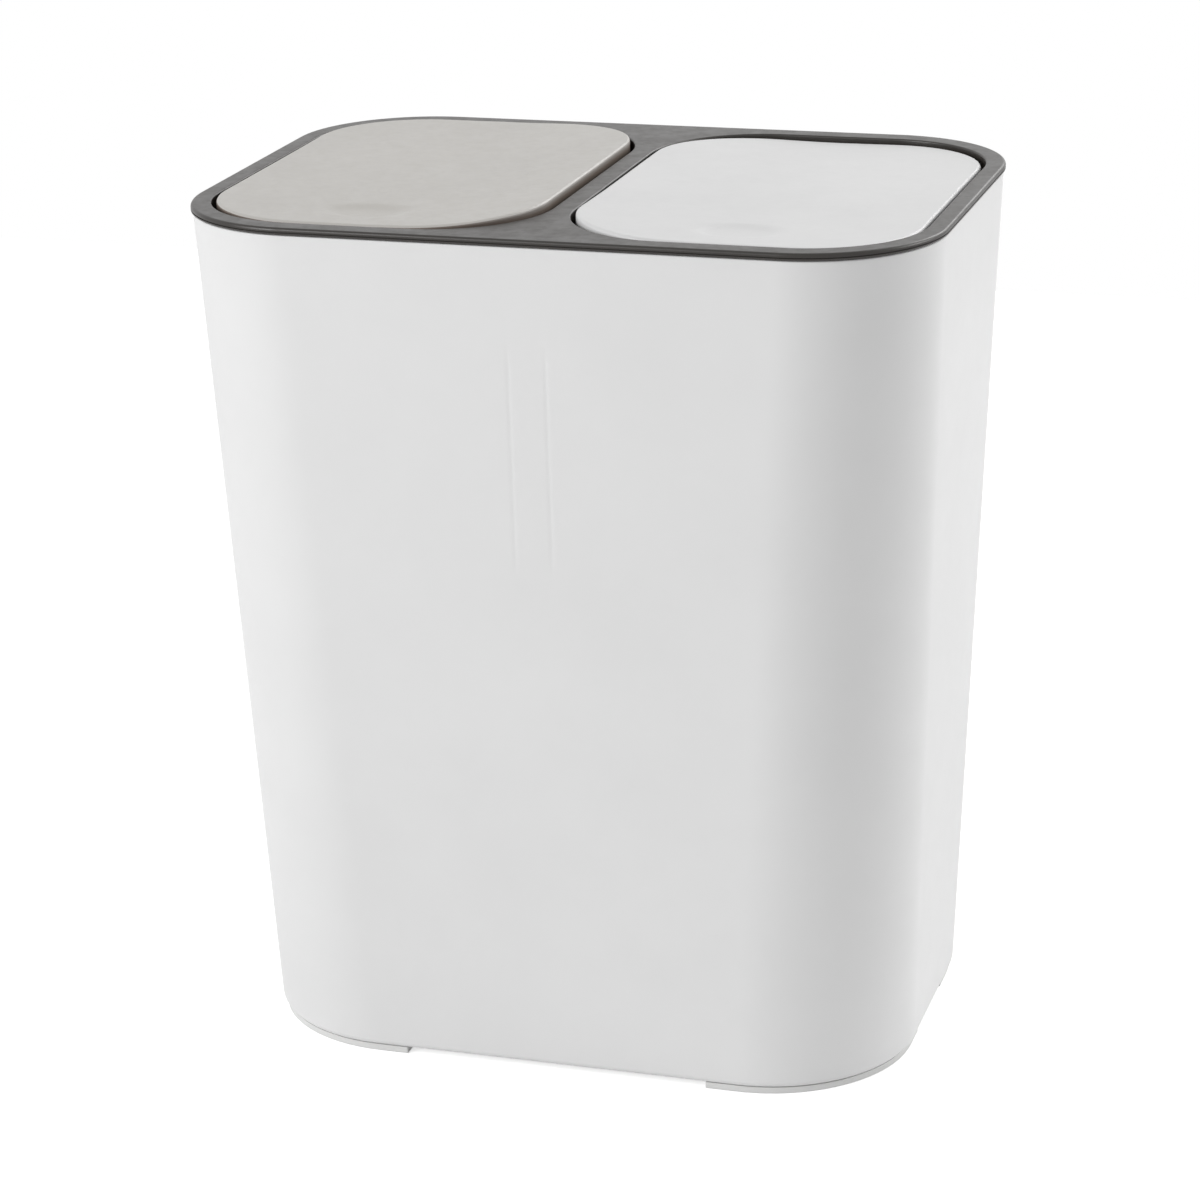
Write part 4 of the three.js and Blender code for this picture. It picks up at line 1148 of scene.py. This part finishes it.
def lift_spring_path(hand):
    """The torsion spring's line: in from the frame, round the pin, and forward under the lid's panel."""
    hardware = settings().hardware
    lid = settings().lids
    side = SIDES[hand]
    y, z = hinge_line()
    low, high = box(f"lid_spring_{hand}")
    entry = high[0] if side > 0 else low[0]
    leg_x = (low[0] if side > 0 else high[0]) + side * hardware.lift_wire / 2
    lid_low, lid_high = box(f"lid_{hand}")
    lid_edge = lid_high[0] if side > 0 else lid_low[0]
    first_x = lid_edge - side * (lid.skirt_wall + hardware.seat_gap + hardware.lift_wire)
    radius = hardware.lift_coil
    turns = hardware.lift_turns + 0.5
    elbow = radius / 2

    def on_coil(angle):
        share = angle / (turns * 2 * math.pi)
        turned = angle - math.pi / 2
        x = first_x + (leg_x - first_x) * share
        return Vector((x, y + radius * math.cos(turned), z + radius * math.sin(turned)))

    bend_angle = elbow / radius
    corner = Vector((first_x, y, z - radius))
    leg_start = corner + Vector((side * elbow, 0, 0))
    points = [Vector((entry, y, z - radius))]
    for i in range(ELBOW_STEPS + 1):
        t = i / ELBOW_STEPS
        points.append(leg_start * (1 - t) ** 2 + corner * 2 * t * (1 - t) + on_coil(bend_angle) * t * t)
    count = int(turns * WIRE_STEPS)
    end_angle = turns * 2 * math.pi
    points += [on_coil(bend_angle + (end_angle - bend_angle) * i / count) for i in range(1, count + 1)]
    leg_y = y - hardware.lift_leg
    under = frame_top() + lid_rise(hand, leg_x, leg_y) - lid.thickness
    leg_z = under - hardware.seat_gap - hardware.lift_wire / 2
    points.append(Vector((leg_x, leg_y, leg_z)))
    return points, first_x, leg_x


def latch_spring_path(hand):
    """The coil spring's line, whose last half turns at both ends lie flat."""
    hardware = settings().hardware
    low, high = box(f"latch_spring_{hand}")
    x, y = side_middle(hand), centre(f"latch_plunger_{hand}")[1]
    half = hardware.coil_wire / 2
    radius = (high[0] - low[0]) / 2 - half
    start, end = low[2] + half, high[2] - half
    count = hardware.coil_turns * WIRE_STEPS
    points = []
    for i in range(count + 1):
        angle = 2 * math.pi * i / WIRE_STEPS
        share = min(max((i / WIRE_STEPS - 0.5) / (hardware.coil_turns - 1), 0), 1)
        height = start + (end - start) * share
        points.append(Vector((x + radius * math.cos(angle), y + radius * math.sin(angle), height)))
    return points


# ------------------------------------------------------------------ the press latches


def latch_housing(hand):
    """A box open at the top, with two screw ears and a window each side for the plunger's tabs."""
    sizes = settings()
    part = sizes.hardware
    low, high = box(f"latch_housing_{hand}")
    plunger_low, plunger_high = box(f"latch_plunger_{hand}")
    middle = side_middle(hand)
    half = (high[0] - low[0]) / 2 - part.ear_width
    wall = part.housing_wall
    ear_z = centre(f"latch_housing_{hand}")[2]
    outer = block(middle - half, middle + half, low[1], high[1], low[2], high[2], part.housing_round)
    bottom, top = ear_z - part.ear_height / 2, ear_z + part.ear_height / 2
    ears = block(low[0], high[0], low[1], low[1] + wall, bottom, top, part.housing_round)
    cavity = half - wall
    y0, y1 = low[1] + wall, high[1] - wall
    inside = block(middle - cavity, middle + cavity, y0, y1, low[2] + wall, high[2] + wall)
    y = (plunger_low[1] + plunger_high[1]) / 2
    reach = sizes.lids.striker_length / 2 + part.slide_gap
    window_low = plunger_low[2] - part.press_travel - part.slide_gap
    window_high = plunger_low[2] + part.tab_height + 2 * part.slide_gap
    window = block(middle - 2 * half, middle + 2 * half, y - reach, y + reach, window_low, window_high)
    holes = [rod(part.shank_hole, (x, low[1] - wall, z), (x, high[1], z)) for x, z in screw_places(hand)]
    return cut(join(outer, ears), inside, window, *holes)


def latch_plunger(hand):
    """The sliding fork that grips the lid's striker, with a tab each side that keeps it in the housing."""
    sizes = settings()
    part = sizes.hardware
    low, high = box(f"latch_plunger_{hand}")
    middle = side_middle(hand)
    half = (high[0] - low[0]) / 2 - part.tab_reach
    y = (low[1] + high[1]) / 2
    reach = sizes.lids.striker_length / 2
    tab_low = low[2] + part.slide_gap
    body = block(middle - half, middle + half, low[1], high[1], low[2], high[2], part.housing_round)
    tabs = block(low[0], high[0], y - reach, y + reach, tab_low, tab_low + part.tab_height)
    slot = half - part.jaw
    y0, y1 = low[1] - part.slide_gap, high[1] + part.slide_gap
    z0, z1 = high[2] - part.slot_depth, high[2] + part.slide_gap
    fork = block(middle - slot, middle + slot, y0, y1, z0, z1)
    bore = rod(part.bore, (middle, y, low[2] - part.seat_gap), (middle, y, low[2] + part.bore_depth))
    return cut(join(body, tabs), fork, bore)


def latch_screw(node):
    """A pan-head screw with a cross slot: a half section spun about its own line."""
    part = settings().hardware
    low, high = box(node)
    x, z = centre(node)[::2]
    head = (high[2] - low[2]) / 2
    under = high[1] - part.head_height
    shoulder = high[1] - part.head_crown
    profile = [
        (0, low[1]),
        (part.shank * 0.4, low[1]),
        (part.shank, low[1] + part.point),
        (part.shank, under),
        (head, under),
        (head, under + part.head_height * 0.35),
        (head * 0.93, under + part.head_height * 0.6),
        (head * 0.75, shoulder),
        (head * 0.4, high[1] - part.head_crown / 4),
        (0, high[1]),
    ]
    bm = bmesh.new()
    points = [bm.verts.new((x + out, y, z)) for out, y in profile]
    edges = [bm.edges.new(pair) for pair in zip(points, points[1:])]
    bmesh.ops.spin(
        bm,
        geom=points + edges,
        cent=(x, 0, z),
        axis=(0, 1, 0),
        angle=2 * math.pi,
        steps=ROD_STEPS,
        use_merge=True,
        use_duplicate=False,
    )
    tidy(bm)
    floor, above = high[1] - part.cross_depth, high[1] + part.cross_depth
    long, short = part.cross_reach, part.cross_width / 2
    for half_x, half_z in ((long, short), (short, long)):
        bm = cut(bm, block(x - half_x, x + half_x, floor, above, z - half_z, z + half_z))
    return bm


# ------------------------------------------------------------------ operators


# The side of each square lamp, and its place, in metres.
LAMPS = {
    "key": (1.1, (-1.24, -1.57, 1.1)),
    "fill": (1.1, (1.87, 0.68, 1.1)),
    "rim": (0.9, (0.5, 1.35, 1.2)),
}
FLOOR_HALF = 1.2  # half the side of the studio floor, in metres
SIGHT = 20  # how far the camera sees, in metres
WHITE = "#FFFFFF"


class BIN_OT_tub(bpy.types.Operator):
    """Build the white tub with its guide ribs"""

    bl_idname = "bin.tub"
    bl_label = "Tub"

    def execute(self, context):
        white = spark_textured_polypropylene("spark_textured_white_polypropylene", settings().finishes.tub)
        finish_piece(tub_shell(), "body_shell", [white], "tub")
        return {"FINISHED"}


class BIN_OT_feet(bpy.types.Operator):
    """Build the four corner feet"""

    bl_idname = "bin.feet"
    bl_label = "Feet"

    def execute(self, context):
        name = "spark_textured_off_white_polypropylene"
        off_white = spark_textured_polypropylene(name, settings().finishes.foot)
        for node in FEET:
            finish_piece(foot_pad(node), node, [off_white], "tub")
        return {"FINISHED"}


class BIN_OT_buckets(bpy.types.Operator):
    """Build the two inner buckets"""

    bl_idname = "bin.buckets"
    bl_label = "Inner Buckets"

    def execute(self, context):
        grey = bucket_polypropylene(settings().finishes.bucket)
        for hand in SIDES:
            finish_piece(inner_bucket(hand), f"bucket_{hand}", [grey], f"{hand}_bucket")
        return {"FINISHED"}


class BIN_OT_lid_frame(bpy.types.Operator):
    """Build the frame that holds both lids"""

    bl_idname = "bin.lid_frame"
    bl_label = "Lid Frame"

    def execute(self, context):
        dark = settings().finishes.frame
        taupe = satin_polypropylene("satin_taupe_polypropylene", dark, roughness=0.34, scuff=0.06)
        finish_piece(lid_frame_shell(), "lid_frame", [taupe], "top_frame")
        return {"FINISHED"}


class BIN_OT_lids(bpy.types.Operator):
    """Build the grey and the white press lid"""

    bl_idname = "bin.lids"
    bl_label = "Press Lids"

    def execute(self, context):
        finishes = settings().finishes
        pale, dark, light = finishes.grey_lid, finishes.grey_lid_painted_shade, finishes.white_lid
        # Painted shade: the left lid's skirt is a darker brown-grey that turns to the panel's grey between
        # the frame's top and the lid's top
        painted_shade_fade = pale, frame_top(), box("lid_left")[1][2] + MM
        grey = satin_polypropylene("satin_warm_grey_polypropylene", pale, roughness=0.36, scuff=0.08)
        painted_shade_edge = satin_polypropylene("satin_brown_grey_polypropylene", dark, roughness=0.4, painted_shade_fade=painted_shade_fade)
        white = satin_polypropylene("satin_white_polypropylene", light, roughness=0.36, scuff=0.06)
        finish_piece(press_lid("left"), "lid_left", [grey, painted_shade_edge], "left_lid")
        finish_piece(press_lid("right"), "lid_right", [white, white], "right_lid")
        return {"FINISHED"}


class BIN_OT_hinge_pins(bpy.types.Operator):
    """Build the three hinge pins"""

    bl_idname = "bin.hinge_pins"
    bl_label = "Hinge Pins"

    def execute(self, context):
        steel = zinc_plated_steel(settings().finishes.plating)
        for node in ("hinge_pin_centre", "hinge_pin_left", "hinge_pin_right"):
            finish_piece(hinge_pin(node), node, [steel], "top_frame")
        return {"FINISHED"}


class BIN_OT_lid_springs(bpy.types.Operator):
    """Build the torsion springs of the two lids"""

    bl_idname = "bin.lid_springs"
    bl_label = "Lid Springs"

    def execute(self, context):
        wire_finish = drawn_spring_wire(settings().finishes.wire)
        hardware = settings().hardware
        for hand, side in SIDES.items():
            points, first_x, leg_x = lift_spring_path(hand)
            bm = wire(points, hardware.lift_wire)
            spring = finish_piece(bm, f"lid_spring_{hand}", [wire_finish])
            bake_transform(spring)
        return {"FINISHED"}


class BIN_OT_latches(bpy.types.Operator):
    """Build both press latches: housings, plungers, coil springs and screws"""

    bl_idname = "bin.latches"
    bl_label = "Press Latches"

    def execute(self, context):
        finishes = settings().finishes
        part = settings().hardware
        black = moulded_acetal(finishes.latch)
        steel = zinc_plated_steel(finishes.plating)
        wire_finish = drawn_spring_wire(finishes.wire)
        for hand in SIDES:
            node = f"latch_housing_{hand}"
            finish_piece(latch_housing(hand), node, [black], "top_frame")
            node = f"latch_plunger_{hand}"
            finish_piece(latch_plunger(hand), node, [black], f"{hand}_latch")
            for i in (1, 2):
                node = f"latch_screw_{hand}_{i}"
                finish_piece(latch_screw(node), node, [steel], "top_frame")
            node = f"latch_spring_{hand}"
            bm = wire(latch_spring_path(hand), part.coil_wire)
            coil = finish_piece(bm, node, [wire_finish], "top_frame")
            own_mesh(coil)
        return {"FINISHED"}


class BIN_OT_stage(bpy.types.Operator):
    """Set up the floor, the lamps and the camera"""

    bl_idname = "bin.stage"
    bl_label = "Stage"

    def execute(self, context):
        sizes = settings().stage
        build_floor(sizes)
        light_world(sizes)
        target = Vector((0, 0, sizes.aim_height))
        for name, (side, place) in LAMPS.items():
            add_lamp(name, getattr(sizes, f"{name}_power"), side, place, target)
        add_camera(context.scene, sizes, target)
        context.scene.view_settings.view_transform = "Standard"
        return {"FINISHED"}


def seen_directly(tree):
    """1 for what the camera sees, also in a reflection or through glass, and 0 for light that falls."""
    path = add_node(tree, "ShaderNodeLightPath").outputs
    seen = path["Is Camera Ray"]
    for kind in ("Is Glossy Ray", "Is Transmission Ray"):
        seen = add_node(tree, "ShaderNodeMath", {0: seen, 1: path[kind]}, operation="MAXIMUM")
    return seen


def build_floor(sizes):
    """A wide pale floor that shows white and keeps the bin's soft shadow."""
    bm = bmesh.new()
    bmesh.ops.create_grid(bm, x_segments=1, y_segments=1, size=FLOOR_HALF)
    floor = as_object(bm, "studio_floor")
    material, tree = start_material("painted_studio_floor")
    strength = {0: seen_directly(tree), 1: sizes.floor_glow}
    glow = add_node(tree, "ShaderNodeMath", strength, operation="MULTIPLY")
    paint = add_node(tree, "ShaderNodeBsdfDiffuse", {"Color": (*sizes.floor_paint, 1)})
    light = add_node(tree, "ShaderNodeEmission", {"Color": (*linear(WHITE), 1), "Strength": glow})
    both = add_node(tree, "ShaderNodeAddShader", {0: paint, 1: light})
    add_node(tree, "ShaderNodeOutputMaterial", {"Surface": both})
    floor.data.materials.append(material)


def light_world(sizes):
    """White where it is seen, and a weaker even light on the bin."""
    world = bpy.data.worlds.new("studio")
    world.use_nodes = True
    tree = world.node_tree
    tree.nodes.clear()
    span = {"Value": seen_directly(tree), "To Min": sizes.sky}
    strength = add_node(tree, "ShaderNodeMapRange", span)
    light = {"Color": (*linear(WHITE), 1), "Strength": strength}
    background = add_node(tree, "ShaderNodeBackground", light)
    add_node(tree, "ShaderNodeOutputWorld", {"Surface": background})
    bpy.context.scene.world = world


def add_lamp(name, power, side, place, target):
    """A soft square lamp that faces the bin."""
    lamp = bpy.data.lights.new(f"{name}_lamp", "AREA")
    lamp.energy = power
    lamp.size = side
    carrier = bpy.data.objects.new(f"{name}_lamp", lamp)
    carrier.location = place
    carrier.rotation_euler = (target - Vector(place)).to_track_quat("-Z", "Y").to_euler()
    bpy.context.scene.collection.objects.link(carrier)


def add_camera(scene, sizes, target):
    """The camera of the photograph, turned about its line of sight by its roll."""
    camera = bpy.data.cameras.new("camera")
    camera.lens = sizes.lens
    camera.shift_x = sizes.shift_x
    camera.shift_y = sizes.shift_y
    camera.clip_end = SIGHT
    carrier = bpy.data.objects.new("camera", camera)
    level = math.cos(sizes.elevation)
    right, front = math.sin(sizes.azimuth) * level, math.cos(sizes.azimuth) * level
    back = Vector((right, -front, math.sin(sizes.elevation)))
    turn = back.to_track_quat("Z", "Y") @ Matrix.Rotation(sizes.roll, 3, "Z").to_quaternion()
    carrier.matrix_world = Matrix.Translation(target + back * sizes.distance) @ turn.to_matrix().to_4x4()
    scene.collection.objects.link(carrier)
    scene.camera = carrier


class BIN_PT_panel(bpy.types.Panel):
    """Lists the operators in the order in which they build the bin"""

    bl_idname = "BIN_PT_panel"
    bl_label = "Double Recycling Bin"
    bl_space_type = "VIEW_3D"
    bl_region_type = "UI"
    bl_category = "Bin"

    def draw(self, context):
        for operator in OPERATORS:
            self.layout.operator(operator.bl_idname)


OPERATORS = (
    BIN_OT_stage,
    BIN_OT_tub,
    BIN_OT_feet,
    BIN_OT_buckets,
    BIN_OT_lid_frame,
    BIN_OT_lids,
    BIN_OT_hinge_pins,
    BIN_OT_lid_springs,
    BIN_OT_latches,
)
GROUPS = (
    BIN_PG_tub,
    BIN_PG_frame,
    BIN_PG_lids,
    BIN_PG_buckets,
    BIN_PG_hardware,
    BIN_PG_finishes,
    BIN_PG_stage,
    BIN_PG_settings,
)


def register():
    for part in (*GROUPS, *OPERATORS, BIN_PT_panel):
        bpy.utils.register_class(part)
    bpy.types.Scene.bin_settings = PointerProperty(type=BIN_PG_settings)


def unregister():
    del bpy.types.Scene.bin_settings
    for part in (BIN_PT_panel, *reversed(OPERATORS), *reversed(GROUPS)):
        bpy.utils.unregister_class(part)


def main():
    register()
    bpy.ops.bin.stage()
    bpy.ops.bin.tub()
    bpy.ops.bin.feet()
    bpy.ops.bin.buckets()
    bpy.ops.bin.lid_frame()
    bpy.ops.bin.lids()
    bpy.ops.bin.hinge_pins()
    bpy.ops.bin.lid_springs()
    bpy.ops.bin.latches()


if __name__ == "__main__":
    main()
